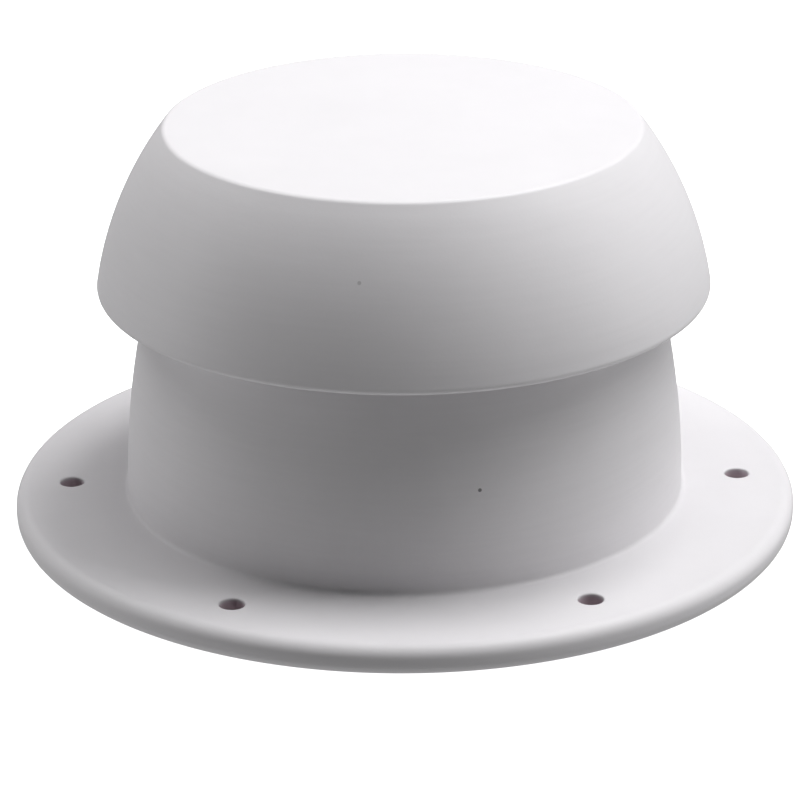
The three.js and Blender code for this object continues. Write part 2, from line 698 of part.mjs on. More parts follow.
const drive = new THREE.Group();
add("spindle", spindle(), STAINLESS, [0, 0, 0], drive);
add("knob", knob(), KNOB_PLASTIC, [0, 0, 0], drive);
add("knob_screw", knobScrew(), STAINLESS, [0, 0, 0], drive);
add("lower_thrust_washer", thrustWasher(lowerWasherZ), BUSH_PLASTIC, [0, 0, 0], drive);
add("upper_thrust_washer", thrustWasher(upperWasherZ), BUSH_PLASTIC, [0, 0, 0], drive);
add("circlip", circlip(), STAINLESS, [0, 0, 0], drive);
vent.add(drive);

export default vent;
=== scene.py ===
import json
import math

import bpy
import numpy as np
from bpy.props import FloatProperty, FloatVectorProperty, IntProperty, PointerProperty
from mathutils import Matrix, Vector


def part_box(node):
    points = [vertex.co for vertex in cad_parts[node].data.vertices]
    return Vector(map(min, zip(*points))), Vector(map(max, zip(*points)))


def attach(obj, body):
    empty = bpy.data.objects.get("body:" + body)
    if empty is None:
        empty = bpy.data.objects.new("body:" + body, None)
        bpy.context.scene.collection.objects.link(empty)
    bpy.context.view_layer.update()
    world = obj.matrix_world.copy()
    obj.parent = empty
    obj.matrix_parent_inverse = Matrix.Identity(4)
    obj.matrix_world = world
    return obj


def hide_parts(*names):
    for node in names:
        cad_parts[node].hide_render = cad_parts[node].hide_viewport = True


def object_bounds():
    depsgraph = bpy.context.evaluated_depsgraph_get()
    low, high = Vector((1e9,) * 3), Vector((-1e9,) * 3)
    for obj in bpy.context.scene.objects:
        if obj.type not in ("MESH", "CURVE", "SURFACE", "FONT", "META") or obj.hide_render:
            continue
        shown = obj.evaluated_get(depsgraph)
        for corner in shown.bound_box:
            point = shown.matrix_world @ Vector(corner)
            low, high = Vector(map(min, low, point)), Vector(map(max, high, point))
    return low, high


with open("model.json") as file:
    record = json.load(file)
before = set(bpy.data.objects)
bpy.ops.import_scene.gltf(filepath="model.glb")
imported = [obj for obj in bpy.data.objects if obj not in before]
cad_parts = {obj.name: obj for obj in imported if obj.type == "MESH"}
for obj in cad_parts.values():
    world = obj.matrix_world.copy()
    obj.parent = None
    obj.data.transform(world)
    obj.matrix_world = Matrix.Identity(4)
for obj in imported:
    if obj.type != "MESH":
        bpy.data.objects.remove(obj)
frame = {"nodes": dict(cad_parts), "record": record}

CAD_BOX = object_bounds()

bl_info = {
    "name": "Mushroom Deck Vent",
    "version": (1, 0, 0),
    "blender": (4, 5, 0),
    "location": "View3D > Sidebar > Deck Vent",
    "description": "Builds a screw-down mushroom ventilator's fine surfaces and finishes round its frame",
    "category": "Object",
}

MM = 0.001
TURN = 2 * math.pi
FINE = 480  # divisions round the flange, neck and cap
MEDIUM = 192  # divisions round the inner rings and turned pieces
SMALL = 64  # divisions round screws, posts and bosses
SHARP = math.radians(34)  # faces that meet at more than this keep a sharp edge
SAME = 1e-6  # metres; levels and radii closer than this are the same
FIT = 0.2 * MM  # room between a bore and what goes through it
SLACK = 0.3 * MM  # room between faces that stop short of each other
WINDOW = 4  # grid cells from a deck hole's centre to the side of its window


# ---------------------------------------------------------------- reading the frame


def node_corners(node):
    """A CAD node's corners as x, y and z."""
    mesh = frame["nodes"][node].data
    flat = np.empty(len(mesh.vertices) * 3)
    mesh.vertices.foreach_get("co", flat)
    return flat.reshape(-1, 3).T


def node_points(node):
    """A CAD node's corners as radius from the Z axis, angle and height."""
    x, y, z = node_corners(node)
    return np.hypot(x, y), np.arctan2(y, x), z


def span(node):
    """A CAD node's lowest and highest level."""
    low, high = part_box(node)
    return low.z, high.z


def reach(node):
    """A CAD node's largest distance from the Z axis."""
    return node_points(node)[0].max()


def bore(node):
    """A CAD node's smallest distance from the Z axis."""
    return node_points(node)[0].min()


def centre_of(node):
    """The middle of a CAD node's box in plan."""
    low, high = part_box(node)
    return (low.x + high.x) / 2, (low.y + high.y) / 2


def seat(node):
    """The middle of a CAD node's box in plan, as radius and angle about Z, and half its width."""
    x, y = centre_of(node)
    low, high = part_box(node)
    return math.hypot(x, y), math.atan2(y, x), (high.x - low.x) / 2


def own_bore(node):
    """The radius of a small CAD node's bore, from the corners nearest to its own axis."""
    middle_x, middle_y = centre_of(node)
    x, y, _ = node_corners(node)
    return np.hypot(x - middle_x, y - middle_y).min()


def mount_height(name):
    """The height of a mount's point."""
    return next(m["pos_m"][2] for m in frame["record"]["mounts"] if m["name"] == name)


def copies(stem):
    """The names of the CAD nodes that are copies of one piece, in order."""
    return sorted(n for n in frame["nodes"] if n.startswith(stem))


def thread_pitch():
    """Lift for each turn, from the coupling of the knob and the cap."""
    return TURN / next(c["ratio"] for c in frame["record"]["behaviour"]["couplings"])


class Side:
    """A moulding's curved side: the circle that fits the outermost corners of a CAD node between two levels.

    The circle r^2 + z^2 = 2 a r + 2 b z + c is solved by least squares, which gives its centre (a, b).
    Corners that lie under a chord between two others are on the inner face, and are left out. The wall is
    the middle value of the gaps of 1 to 4 mm between the circle and the corners inside it."""

    def __init__(self, node, low, high):
        r, _, z = node_points(node)
        levels = np.unique(np.round(z[(z > low) & (z < high)], 6))
        outer = np.array([r[np.abs(z - level) < 2 * SAME].max() for level in levels])
        i, j, k = np.ogrid[: len(levels), : len(levels), : len(levels)]
        share = (levels[k] - levels[i]) / np.where(i < j, levels[j] - levels[i], np.inf)
        chord = np.where((i < k) & (k < j), outer[i] + (outer[j] - outer[i]) * share, 0)
        hull = outer >= chord.max((0, 1)) - SAME
        levels, outer = levels[hull], outer[hull]
        matrix = np.stack([2 * outer, 2 * levels, np.ones_like(levels)], 1)
        a, b, c = np.linalg.lstsq(matrix, outer**2 + levels**2, rcond=None)[0]
        self.r, self.z, self.radius = a, b, math.sqrt(c + a * a + b * b)
        gaps = self.radius - np.hypot(r - a, z - b)[(z > low) & (z < high)]
        self.wall = np.median(gaps[(gaps > MM) & (gaps < 4 * MM)])

    def at(self, z, inset=0.0):
        """Radius at a height, set in from the outer face."""
        return self.r + np.sqrt((self.radius - inset) ** 2 - (z - self.z) ** 2)

    def run(self, start, end, count, inset=0.0):
        """Section points from one height to another."""
        heights = np.linspace(start, end, count)
        return list(zip(self.at(heights, inset), heights))


# ---------------------------------------------------------------- sections and surfaces


def rounded(corners, closed=False, steps=6):
    """A section whose corners (r, z, round) are arcs of that radius, tangent to both of their sides.

    An arc takes at most 0.49 of a side."""
    points = [np.array(c[:2], float) for c in corners]
    out = []
    for i, corner in enumerate(corners):
        here = points[i]
        radius = corner[2] if len(corner) > 2 else 0
        if not radius or (not closed and i in (0, len(corners) - 1)):
            out.append(here)
            continue
        back = points[i - 1] - here
        on = points[(i + 1) % len(points)] - here
        back_length, on_length = np.linalg.norm(back), np.linalg.norm(on)
        back, on = back / back_length, on / on_length
        half = math.acos(np.clip(back @ on, -1, 1)) / 2
        tangent = min(radius / math.tan(half), back_length * 0.49, on_length * 0.49)
        radius = tangent * math.tan(half)
        middle = back + on
        centre = here + middle / np.linalg.norm(middle) * (radius / math.sin(half))
        first, last = here + back * tangent - centre, here + on * tangent - centre
        sweep = math.atan2(first[0] * last[1] - first[1] * last[0], first @ last)
        turn = np.linspace(0, sweep, steps + 1)
        across = np.array([-first[1], first[0]])
        out.extend(centre + np.outer(np.cos(turn), first) + np.outer(np.sin(turn), across))
    return out


def held(points, gap=0.35 * MM, closed=False):
    """The same section with extra points near the ends of its long straight runs, which keep flats flat."""
    points = [np.asarray(p, float) for p in points]
    pairs = zip(points, points[1:] + points[:1])
    out = []
    for i, (a, b) in enumerate(pairs):
        out.append(a)
        length = np.linalg.norm(b - a)
        if length > 4 * gap and (closed or i < len(points) - 1):
            out.append(a + (b - a) * (gap / length))
            out.append(b - (b - a) * (gap / length))
    return np.array(out)


def grid_faces(rows, columns, wrap_rows, wrap_columns):
    """The corner numbers of each face of a grid of points, as rows x columns x 4."""
    i = np.arange(rows if wrap_rows else rows - 1)[:, None]
    j = np.arange(columns if wrap_columns else columns - 1)[None, :]
    i_next, j_next = (i + 1) % rows, (j + 1) % columns
    corners = [i * columns + j, i * columns + j_next, i_next * columns + j_next, i_next * columns + j]
    return np.stack(np.broadcast_arrays(*corners), -1)


def end_fans(around, last_ring, first, last):
    """The three-sided faces that close a grid's first ring on point first and its last ring on point last."""
    here = np.arange(around)
    on = (here + 1) % around
    opening = np.stack([np.full(around, first), on, here], 1)
    closing = np.stack([np.full(around, last), last_ring + here, last_ring + on], 1)
    return np.concatenate([opening, closing])


class Skin:
    """Closed surfaces gathered for one mesh: points, their painted shade, four-sided faces and three-sided
    faces.
    """

    def __init__(self):
        self.points, self.grime, self.quads, self.tris = [], [], [], []
        self.count = 0

    def add(self, points, quads=(), tris=(), grime=0.0):
        """Adds a closed surface, right side out by the sign of its volume. Painted shade is 0 to 1 at each
        point.
        """
        points = np.asarray(points, float).reshape(-1, 3)
        quads = np.asarray(quads, int).reshape(-1, 4)
        tris = np.asarray(tris, int).reshape(-1, 3)
        fans = np.concatenate([quads[:, [0, 1, 2]], quads[:, [0, 2, 3]], tris])
        a, b, c = (points[fans[:, k]] for k in range(3))
        if np.einsum("ij,ij->i", a, np.cross(b, c)).sum() < 0:
            quads, tris = quads[:, ::-1], tris[:, ::-1]
        self.points.append(points)
        self.grime.append(np.broadcast_to(grime, len(points)))
        self.quads.append(quads + self.count)
        self.tris.append(tris + self.count)
        self.count += len(points)
        return self

    def turned(self, section, sides, shape=None, closed=False, centre=(0.0, 0.0)):
        """A section turned about a vertical line: point (r, z) at angle a lies at (r cos a, r sin a, z).

        shape(r, z, a) may change radius and height over the whole grid. An open section begins and ends on
        the axis, where its ring closes on one point."""
        section = np.asarray(section, float)
        body = section if closed else section[1:-1]
        r, z = (np.repeat(body[:, k : k + 1], sides, 1) for k in (0, 1))
        a = np.broadcast_to(TURN * np.arange(sides) / sides, r.shape)
        if shape:
            r, z = shape(r, z, a)
        points = np.stack([centre[0] + r * np.cos(a), centre[1] + r * np.sin(a), z], -1).reshape(-1, 3)
        quads = grid_faces(len(body), sides, closed, True)
        if closed:
            return self.add(points, quads)
        tris = end_fans(sides, (len(body) - 1) * sides, len(points), len(points) + 1)
        poles = [[*centre, section[0][1]], [*centre, section[-1][1]]]
        return self.add(np.concatenate([points, poles]), quads, tris)

    def swept(self, rings):
        """A closed outline carried along a path: rings is steps x outline x 3, and fans close both ends."""
        rings = np.asarray(rings, float)
        steps, around = rings.shape[:2]
        tris = end_fans(around, (steps - 1) * around, steps * around, steps * around + 1)
        points = np.concatenate([rings.reshape(-1, 3), [rings[0].mean(0), rings[-1].mean(0)]])
        return self.add(points, grid_faces(steps, around, False, True), tris)

    def mesh(self, name):
        """The Blender mesh, smooth except where faces meet at more than the SHARP angle."""
        points = np.concatenate(self.points)
        quads, tris = np.concatenate(self.quads), np.concatenate(self.tris)
        mesh = bpy.data.meshes.new(name)
        mesh.vertices.add(len(points))
        mesh.vertices.foreach_set("co", points.astype(np.float32).ravel())
        corners = np.concatenate([quads.ravel(), tris.ravel()]).astype(np.int32)
        sides = np.concatenate([np.full(len(quads), 4), np.full(len(tris), 3)])
        starts = np.concatenate([[0], np.cumsum(sides)[:-1]]).astype(np.int32)
        mesh.loops.add(len(corners))
        mesh.loops.foreach_set("vertex_index", corners)
        mesh.polygons.add(len(starts))
        mesh.polygons.foreach_set("loop_start", starts)
        mesh.update(calc_edges=True)
        mesh.polygons.foreach_set("use_smooth", np.ones(len(starts), bool))
        # Each point's painted shade, which darkens the plastic's colour to stand in for shade inside the deck
        # holes.
        layer = mesh.attributes.new("grime", "FLOAT", "POINT")
        layer.data.foreach_set("value", np.concatenate(self.grime).astype(np.float32))
        mesh.set_sharp_from_angle(angle=SHARP)
        mesh.update()
        return mesh


def piece(name, skin, body, slot, node):
    """Puts a finished skin into the scene as the piece that stands for a CAD node."""
    obj = bpy.data.objects.new(name, skin.mesh(name))
    bpy.context.scene.collection.objects.link(obj)
    obj.data.materials.append(finish_for(slot))
    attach(obj, body)
    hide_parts(node)
    return obj


def ring_section(inner, outer, low, high, edge):
    """A closed rectangular section with rounded corners."""
    corners = [(inner, low, edge), (outer, low, edge), (outer, high, edge), (inner, high, edge)]
    return rounded(corners, closed=True, steps=4)


def rod_section(radius, low, high, edge):
    """An open section of a rod, from axis to axis."""
    return rounded([(0, low), (radius, low, edge), (radius, high, edge), (0, high)], steps=4)


def on_circle(radius, angle):
    """A point in plan on a circle about Z."""
    return radius * math.cos(angle), radius * math.sin(angle)


def window(x, half, soft):
    """1 within half of zero, falling smoothly to 0 over a soft edge centred there."""
    t = np.clip((half - np.abs(x)) / soft + 0.5, 0, 1)
    return t * t * (3 - 2 * t)


def divisor(x):
    """The size of each number, kept off zero so that it can divide."""
    return np.maximum(np.abs(x), 1e-6)


def cross_outline(a, length, width):
    """Radius of a plus sign's outline at angle a: the larger of the radii of its two bars."""
    c, s = divisor(np.cos(a)), divisor(np.sin(a))
    return np.maximum(np.minimum(length / c, width / s), np.minimum(length / s, width / c))


def winding(z, a, pitch):
    """A thread's wave: 1 on a helix that climbs one pitch a turn, and 0 half a pitch away from it."""
    return np.abs(((z / pitch - a / TURN) % 1) * 2 - 1)


# ---------------------------------------------------------------- materials


class Value:
    """A shader socket that can be used in an expression. Each operator adds one Math node."""

    def __init__(self, tree, socket):
        self.tree, self.socket = tree, socket

    def _math(self, operation, *values):
        return self.tree.node("ShaderNodeMath", {"operation": operation}, values)

    def __add__(self, other):
        return self._math("ADD", self, other)

    def __sub__(self, other):
        return self._math("SUBTRACT", self, other)

    def __rsub__(self, other):
        return self._math("SUBTRACT", other, self)

    def __mul__(self, other):
        return self._math("MULTIPLY", self, other)

    def step(self, low, high):
        """0 below low, 1 above high, smooth between them."""
        inputs = {"Value": self, "From Min": low, "From Max": high}
        return self.tree.node("ShaderNodeMapRange", {"interpolation_type": "SMOOTHSTEP"}, inputs)

    __radd__, __rmul__ = __add__, __mul__


class Tree:
    """A node tree, to which one method adds nodes."""

    def __init__(self, tree):
        self.nodes, self.links = tree.nodes, tree.links

    def node(self, kind, settings=(), inputs=(), output=0):
        """Adds a node: its type, its settings, its inputs' values or links, and the output wanted."""
        made = self.nodes.new(kind)
        for key, value in dict(settings).items():
            setattr(made, key, value)
        pairs = inputs.items() if isinstance(inputs, dict) else enumerate(inputs)
        for key, value in pairs:
            self.put(made.inputs[key], value)
        return Value(self, made.outputs[output])

    def put(self, socket, value):
        """Links or sets one socket."""
        if isinstance(value, Value):
            self.links.new(value.socket, socket)
        elif socket.type == "RGBA":
            socket.default_value = (*value, 1)
        else:
            socket.default_value = value


class Finish(Tree):
    """A material's node tree, with the constants of its shader set by name."""

    def __init__(self, name, **constants):
        self.material = bpy.data.materials.new(name)
        self.material.use_nodes = True
        super().__init__(self.material.node_tree)
        self.shade(**constants)

    def place(self, *scale):
        """Object coordinates, stretched."""
        where = self.node("ShaderNodeTexCoord", output="Object")
        return self.node("ShaderNodeMapping", (), {"Vector": where, "Scale": scale or (1, 1, 1)})

    def noise(self, size, detail=3.0, rough=0.5, place=None):
        """Noise whose lumps are about size metres across."""
        inputs = {"Vector": place or self.place(), "Scale": 1 / size, "Detail": detail, "Roughness": rough}
        return self.node("ShaderNodeTexNoise", (), inputs)

    def blend(self, factor, one, other):
        """A colour between two colours, by the colour sockets of a Mix node."""
        return self.node("ShaderNodeMix", {"data_type": "RGBA"}, {0: factor, 6: one, 7: other}, 2)

    def spot(self, point, radius):
        """1 within a small round spot at a point of the piece, 0 elsewhere."""
        where = self.node("ShaderNodeTexCoord", output="Object")
        away = self.node("ShaderNodeVectorMath", {"operation": "DISTANCE"}, (where, point), "Value")
        return 1 - away.step(radius * 0.6, radius)

    def bump(self, height, depth, under=None):
        """A Bump node's normal, over another; depth is the height's range in metres."""
        inputs = {"Height": height, "Distance": depth, "Strength": 1.0}
        if under:
            inputs["Normal"] = under
        return self.node("ShaderNodeBump", (), inputs)

    def shade(self, **sockets):
        """Sets or feeds the shader's sockets, and returns the material."""
        shader = self.nodes["Principled BSDF"]
        for socket, value in sockets.items():
            self.put(shader.inputs[socket.replace("_", " ")], value)
        return self.material


def tinted(colour, factor):
    """A colour made lighter or darker by a factor."""
    return tuple(min(c * factor, 1.0) for c in colour)


def moulded_plastic(name, colour, roughness, spots=()):
    """Satin moulded plastic: fine spark-eroded grain, slow sink marks, level streaks and faint cloudiness.

    Painted shade darkens the deck holes' bores towards the hole colour, and spots are specks: point, radius
    and strength."""
    f = Finish(name, IOR=1.46, Specular_IOR_Level=0.42)
    cloud = f.noise(28 * MM, 2.0)
    mottle = f.noise(4 * MM, 4.0, 0.6)
    streak = f.noise(0.9 * MM, 3.0, 0.6, f.place(0.05, 0.05, 1))
    shade = (cloud - 0.5) * 0.7 + (mottle - 0.5) * 0.45 + (streak - 0.5) * 1.2 + 0.5
    body = f.blend(shade, tinted(colour, 0.975), tinted(colour, 1.015))
    # Painted shade: the per-point attribute darkens the deck holes' bores towards the hole colour.
    grime = f.node("ShaderNodeAttribute", {"attribute_name": "grime"}, output="Fac")
    body = f.blend(grime * 0.9, body, bpy.context.scene.vent_looks.bore)
    for point, radius, strength in spots:
        body = f.blend(f.spot(point, radius) * strength, body, tinted(colour, 0.22))
    grain = f.noise(0.42 * MM, 2.0, 0.55)
    skin = f.noise(1.7 * MM, 2.0)
    sink = f.noise(16 * MM, 1.0)
    rough = (mottle - 0.5) * 0.12 + (grain - 0.5) * 0.1 + roughness
    normal = f.bump(grain, 0.012 * MM)
    normal = f.bump(skin, 0.012 * MM, normal)
    normal = f.bump(sink, 0.05 * MM, normal)
    return f.shade(Base_Color=body, Roughness=rough, Normal=normal)


def white_plastic():
    """The vent's white plastic, with the two small dark inclusions in the moulding."""
    looks = bpy.context.scene.vent_looks
    return moulded_plastic("vent_white_plastic", tuple(looks.plastic), looks.plastic_roughness, inclusions())


def knob_plastic():
    """The knob's plastic, a little greyer and smoother."""
    looks = bpy.context.scene.vent_looks
    return moulded_plastic("vent_knob_plastic", tuple(looks.knob), looks.plastic_roughness * 0.9)


def bush_plastic():
    """Natural low-friction plastic: waxy, cream, with turned rings."""
    colour = tuple(bpy.context.scene.vent_looks.bush)
    f = Finish("vent_bush_plastic", IOR=1.5, Subsurface_Weight=0.08, Subsurface_Scale=0.002)
    cloud = f.noise(6 * MM, 3.0)
    body = f.blend(cloud, tinted(colour, 0.94), tinted(colour, 1.04))
    rings = f.noise(0.25 * MM, 2.0, place=f.place(0.15, 0.15, 1))
    rough = (rings - 0.5) * 0.16 + 0.46
    return f.shade(Base_Color=body, Roughness=rough, Normal=f.bump(rings, 0.01 * MM))


def black_rubber():
    """Matt moulded rubber with a dusty bloom and fine pitting."""
    colour = tuple(bpy.context.scene.vent_looks.rubber)
    f = Finish("vent_black_rubber", IOR=1.5, Specular_IOR_Level=0.35)
    bloom = f.noise(7 * MM, 4.0, 0.6).step(0.4, 0.75)
    body = f.blend(bloom * 0.5, colour, tinted(colour, 1.9))
    pits = f.noise(0.5 * MM, 3.0, 0.6)
    rough = (bloom - 0.5) * 0.12 + 0.8
    return f.shade(Base_Color=body, Roughness=rough, Normal=f.bump(pits, 0.03 * MM))


def stainless():
    """Turned stainless steel: fine lay along the lathe's cut and faint smears."""
    colour = tuple(bpy.context.scene.vent_looks.steel)
    f = Finish("vent_stainless", Metallic=1.0)
    lay = f.noise(0.22 * MM, 3.0, 0.6, f.place(0.12, 0.12, 1))
    smear = f.noise(5 * MM, 3.0)
    body = f.blend(smear, tinted(colour, 0.93), tinted(colour, 1.05))
    rough = (lay - 0.5) * 0.16 + (smear - 0.5) * 0.14 + 0.29
    return f.shade(Base_Color=body, Roughness=rough, Normal=f.bump(lay, 0.006 * MM))


def wire_cloth():
    """Drawn stainless wire, a little duller in small patches."""
    colour = tuple(bpy.context.scene.vent_looks.steel)
    f = Finish("vent_wire_cloth", Metallic=1.0)
    dull = f.noise(0.9 * MM, 3.0)
    body = f.blend(dull, tinted(colour, 0.82), colour)
    rough = dull * 0.2 + 0.26
    return f.shade(Base_Color=body, Roughness=rough, Normal=f.bump(dull, 0.01 * MM))


def brass():
    """Machined brass with a light tarnish in patches."""
    colour = tuple(bpy.context.scene.vent_looks.brass)
    f = Finish("vent_brass", Metallic=1.0)
    tarnish = f.noise(3 * MM, 4.0, 0.6).step(0.45, 0.7)
    body = f.blend(tarnish * 0.6, colour, tinted(colour, 0.62))
    cuts = f.noise(0.2 * MM, 2.0, place=f.place(0.1, 0.1, 1))
    rough = tarnish * 0.15 + (cuts - 0.5) * 0.1 + 0.28
    return f.shade(Base_Color=body, Roughness=rough, Normal=f.bump(cuts, 0.006 * MM))


FINISHES = {
    make.__name__: make
    for make in (white_plastic, knob_plastic, bush_plastic, black_rubber, stainless, wire_cloth, brass)
}


def finish_for(slot):
    """The material of a slot, made the first time that it is asked for."""
    return bpy.data.materials.get("vent_" + slot) or FINISHES[slot]()


# ---------------------------------------------------------------- shared levels


def neck_side():
    """The neck's long convex side, from above the fillet to below the lip's rounding."""
    return Side("deck_base", mount_height("screw_head_face") + 1.2 * MM, span("deck_base")[1] - 2 * MM)


def cap_side():
    """The cap's side, which is all that reaches further out than the crown, less its rim and shoulder."""
    high = span("cap_shell")[1]
    r, _, z = node_points("cap_shell")
    crown = r[z > high - SAME].max()
    return Side("cap_shell", z[r > crown].min() + 3 * MM, high - 1.5 * MM)


def inclusions():
    """Two dark specks in the white moulding, on the neck and on the cap: point, radius and strength."""
    sizes = bpy.context.scene.vent_sizes
    specks = []
    for node, side, share, angle, strength in (
        ("deck_base", neck_side(), 0.446, sizes.neck_speck_angle, 0.9),
        ("cap_shell", cap_side(), 0.604, sizes.cap_speck_angle, 0.35),
    ):
        low, high = span(node)
        z = low + (high - low) * share
        specks.append(((*on_circle(side.at(z), angle), z), sizes.speck / 2, strength))
    return specks


# ---------------------------------------------------------------- pieces


def deck_holes():
    """The deck holes' radius, the radius of their circle and the angle of the first, from the CAD flange.

    The holes' corners are the only ones on the flange's top between the groove and the edge, and their mean
    direction, with the angle multiplied by the number of holes, gives how far the pattern is turned."""
    count = bpy.context.scene.vent_sizes.deck_holes
    top = mount_height("screw_head_face")
    r, a, z = node_points("deck_base")
    mine = (np.abs(z - top) < 10 * SAME) & (r > reach("deck_gasket")) & (r < reach("deck_base") - 3 * MM)
    r, a = r[mine], a[mine]
    turn = np.angle(np.exp(1j * count * a).mean()) / count
    return (r.max() - r.min()) / 2, (r.max() + r.min()) / 2, turn, count


def base_section(window_radii):
    """The flange's and neck's section, closed, from the bore outwards, up and back down the inner face."""
    sizes = bpy.context.scene.vent_sizes
    side = neck_side()
    top, mouth, flange_r = mount_height("screw_head_face"), span("deck_base")[1], reach("deck_base")
    r, _, z = node_points("deck_base")
    inner = r[z < SAME].min()
    groove_in = r[(z < SAME) & (r > inner + MM)].min()
    groove_out = reach("deck_gasket") + FIT
    groove_top = span("deck_gasket")[1] + SLACK
    fillet, lip, run_out = sizes.neck_fillet, sizes.lip_round, mouth - 2.5 * MM
    corners = [
        (inner, 0, 0.4 * MM),
        (groove_in, 0), (groove_in, groove_top), (groove_out, groove_top), (groove_out, 0),
        *[(radius, 0) for radius in window_radii],
        (flange_r, 0, sizes.flange_bottom_round), (flange_r, top, sizes.flange_top_round),
        *[(radius, top) for radius in window_radii[::-1]],
        (side.at(top), top, fillet), *side.run(top + 2 * fillet, run_out, 44),
        (side.at(mouth), mouth, lip), (side.at(mouth, side.wall), mouth, lip),
        *side.run(run_out, top, 14, side.wall),
    ]
    return held(rounded(corners, closed=True, steps=8), closed=True)


def square_loop(half):
    """The steps round a square of 2 half x 2 half cells, as two arrays, from one corner round to it again."""
    side = np.arange(-half, half)
    high, low = np.full(2 * half, half), np.full(2 * half, -half)
    return np.concatenate([low, side, high, -side]), np.concatenate([side, high, -side, low])


def deck_base_skin():
    """Flange and neck: a section turned about Z, with a window left in the grid round each deck hole.

    Each window is filled by a patch of two parameters, round the hole and through it. It runs from the square
    window on top to a circle, over the hole's rounded edge, down the bore and out to the window below."""
    edge = bpy.context.scene.vent_sizes.hole_edge
    hole_r, circle, turn, count = deck_holes()
    radii = circle + TURN * circle / FINE * np.arange(-WINDOW, WINDOW + 1)
    section = base_section(radii)
    top = mount_height("screw_head_face")
    angles = turn + TURN * np.arange(FINE) / FINE
    r, z = section[:, :1], section[:, 1:]
    points = np.stack(np.broadcast_arrays(r * np.cos(angles), r * np.sin(angles), z), -1).reshape(-1, 3)
    faces = grid_faces(len(section), FINE, True, True)
    upper, lower = (np.hypot(r - radii, z - level).argmin(0) for level in (top, 0.0))
    keep = np.ones(faces.shape[:2], bool)
    columns = (np.arange(count) * (FINE // count))[:, None] + np.arange(-WINDOW, WINDOW)
    for line in (upper, lower):
        keep[line.min() : line.max(), columns.ravel() % FINE] = False
    quads = [faces[keep]]

    out, along = square_loop(WINDOW)
    around = len(out)
    angle = np.arctan2(along, out)
    angle = angle[0] + TURN * np.arange(around) / around * np.sign(angle[1] - angle[0])
    curl = np.linspace(0, math.pi / 2, 5)
    down_bore = np.array([top - 2 * edge, top - 3 * edge, 3 * edge, 2 * edge])
    wall_r = hole_r + np.concatenate([edge - edge * np.sin(curl), 0 * down_bore, edge - edge * np.cos(curl)])
    wall_z = np.concatenate([top - edge + edge * np.cos(curl), down_bore, edge - edge * np.sin(curl)])
    extra = []
    total = len(points)
    for hole in range(count):
        c, s = on_circle(1, turn + TURN * hole / count)
        column = (hole * (FINE // count) + along) % FINE
        rims = [upper[out + WINDOW] * FINE + column, lower[out + WINDOW] * FINE + column]
        outward, sideways = np.array([c, s, 0]), np.array([-s, c, 0])
        spoke = np.cos(angle)[:, None] * outward + np.sin(angle)[:, None] * sideways
        rings = circle * outward + wall_r[:, None, None] * spoke + wall_z[:, None, None] * [0, 0, 1]
        halfway = [(points[rim] + ring) / 2 for rim, ring in zip(rims, (rings[0], rings[-1]))]
        rings = np.concatenate([halfway[:1], rings, halfway[1:]])
        inner = np.arange(rings.size // 3).reshape(len(rings), around) + total
        numbers = np.concatenate([rims[:1], inner, rims[1:]])
        a, b = numbers[:-1], numbers[1:]
        quads.append(np.stack([a, b, np.roll(b, -1, 1), np.roll(a, -1, 1)], -1).reshape(-1, 4))
        extra.append(rings.reshape(-1, 3))
        total += rings.size // 3
    # Painted shade down each deck hole's bore: 0 on the flange and neck, rising from near 0 at the holes'
    # rounded edges to full a little way down the bore.
    depth = np.clip(np.minimum(top - wall_z, wall_z) / (2 * edge) - 0.4, 0, 1)
    depth = np.repeat(np.concatenate([[0], depth, [0]]), around)
    grime = np.concatenate([np.zeros(len(points)), np.tile(depth, count)])
    return Skin().add(np.concatenate([points, *extra]), np.concatenate(quads), grime=grime)


def add_block(skin, width, inner, outer, low, high, angle, edge):
    """A block standing out at an angle: a rounded rectangle carried from one radius to another.

    It swells to its full size over its first edge width, which breaks the edges of its inner end."""
    half = width / 2
    corners = [(-half, low, edge), (half, low, edge), (half, high, edge), (-half, high, edge)]
    outline = np.array(rounded(corners, closed=True, steps=3))
    depth = np.array([inner, inner + edge * 0.3, inner + edge, outer])
    scale = np.array([1 - 2 * edge / width, 1 - 0.6 * edge / width, 1, 1])
    middle = np.array([0, (low + high) / 2])
    rows = middle + (outline - middle) * scale[:, None, None]
    x = depth[:, None] * math.cos(angle) - rows[..., 0] * math.sin(angle)
    y = depth[:, None] * math.sin(angle) + rows[..., 0] * math.cos(angle)
    return skin.swept(np.stack([x, y, rows[..., 1]], -1))


class VENT_OT_deck_base(bpy.types.Operator):
    """Builds the flange and neck, with the lugs, ribs and stops on the neck's inner face"""

    bl_idname = "vent.deck_base"
    bl_label = "Deck Base"

    def execute(self, context):
        sizes = context.scene.vent_sizes
        skin = deck_base_skin()
        side = neck_side()
        bridge_top = span("spider_bridge")[1]
        for node in copies("bridge_screw"):
            lug = rod_section(sizes.lug_radius, bridge_top + SLACK, span(node)[1] + 2 * MM, 0.5 * MM)
            skin.turned(lug, SMALL, centre=centre_of(node))
        rib_low = span("insect_screen")[1] + SLACK
        pip_top = span("screen_ring")[0] - SLACK
        start = seat("bridge_screw_1")[1]
        for rib in range(sizes.ribs):
            angle = start + TURN * (rib + 0.5) / sizes.ribs
            inner = side.at(rib_low, side.wall) - sizes.rib_depth
            outer = side.at(bridge_top) - side.wall / 2
            add_block(skin, sizes.rib_width, inner, outer, rib_low, bridge_top, angle, 0.4 * MM)
            inner = side.at(pip_top, side.wall) - sizes.pip_depth
            outer = side.at(pip_top) - side.wall / 2
            pip_low, angle = pip_top - sizes.pip_height, angle + TURN / 2 / sizes.ribs
            add_block(skin, sizes.pip_width, inner, outer, pip_low, pip_top, angle, 0.3 * MM)
        piece("deck_base_moulding", skin, "base", "white_plastic", "deck_base")
        return {"FINISHED"}


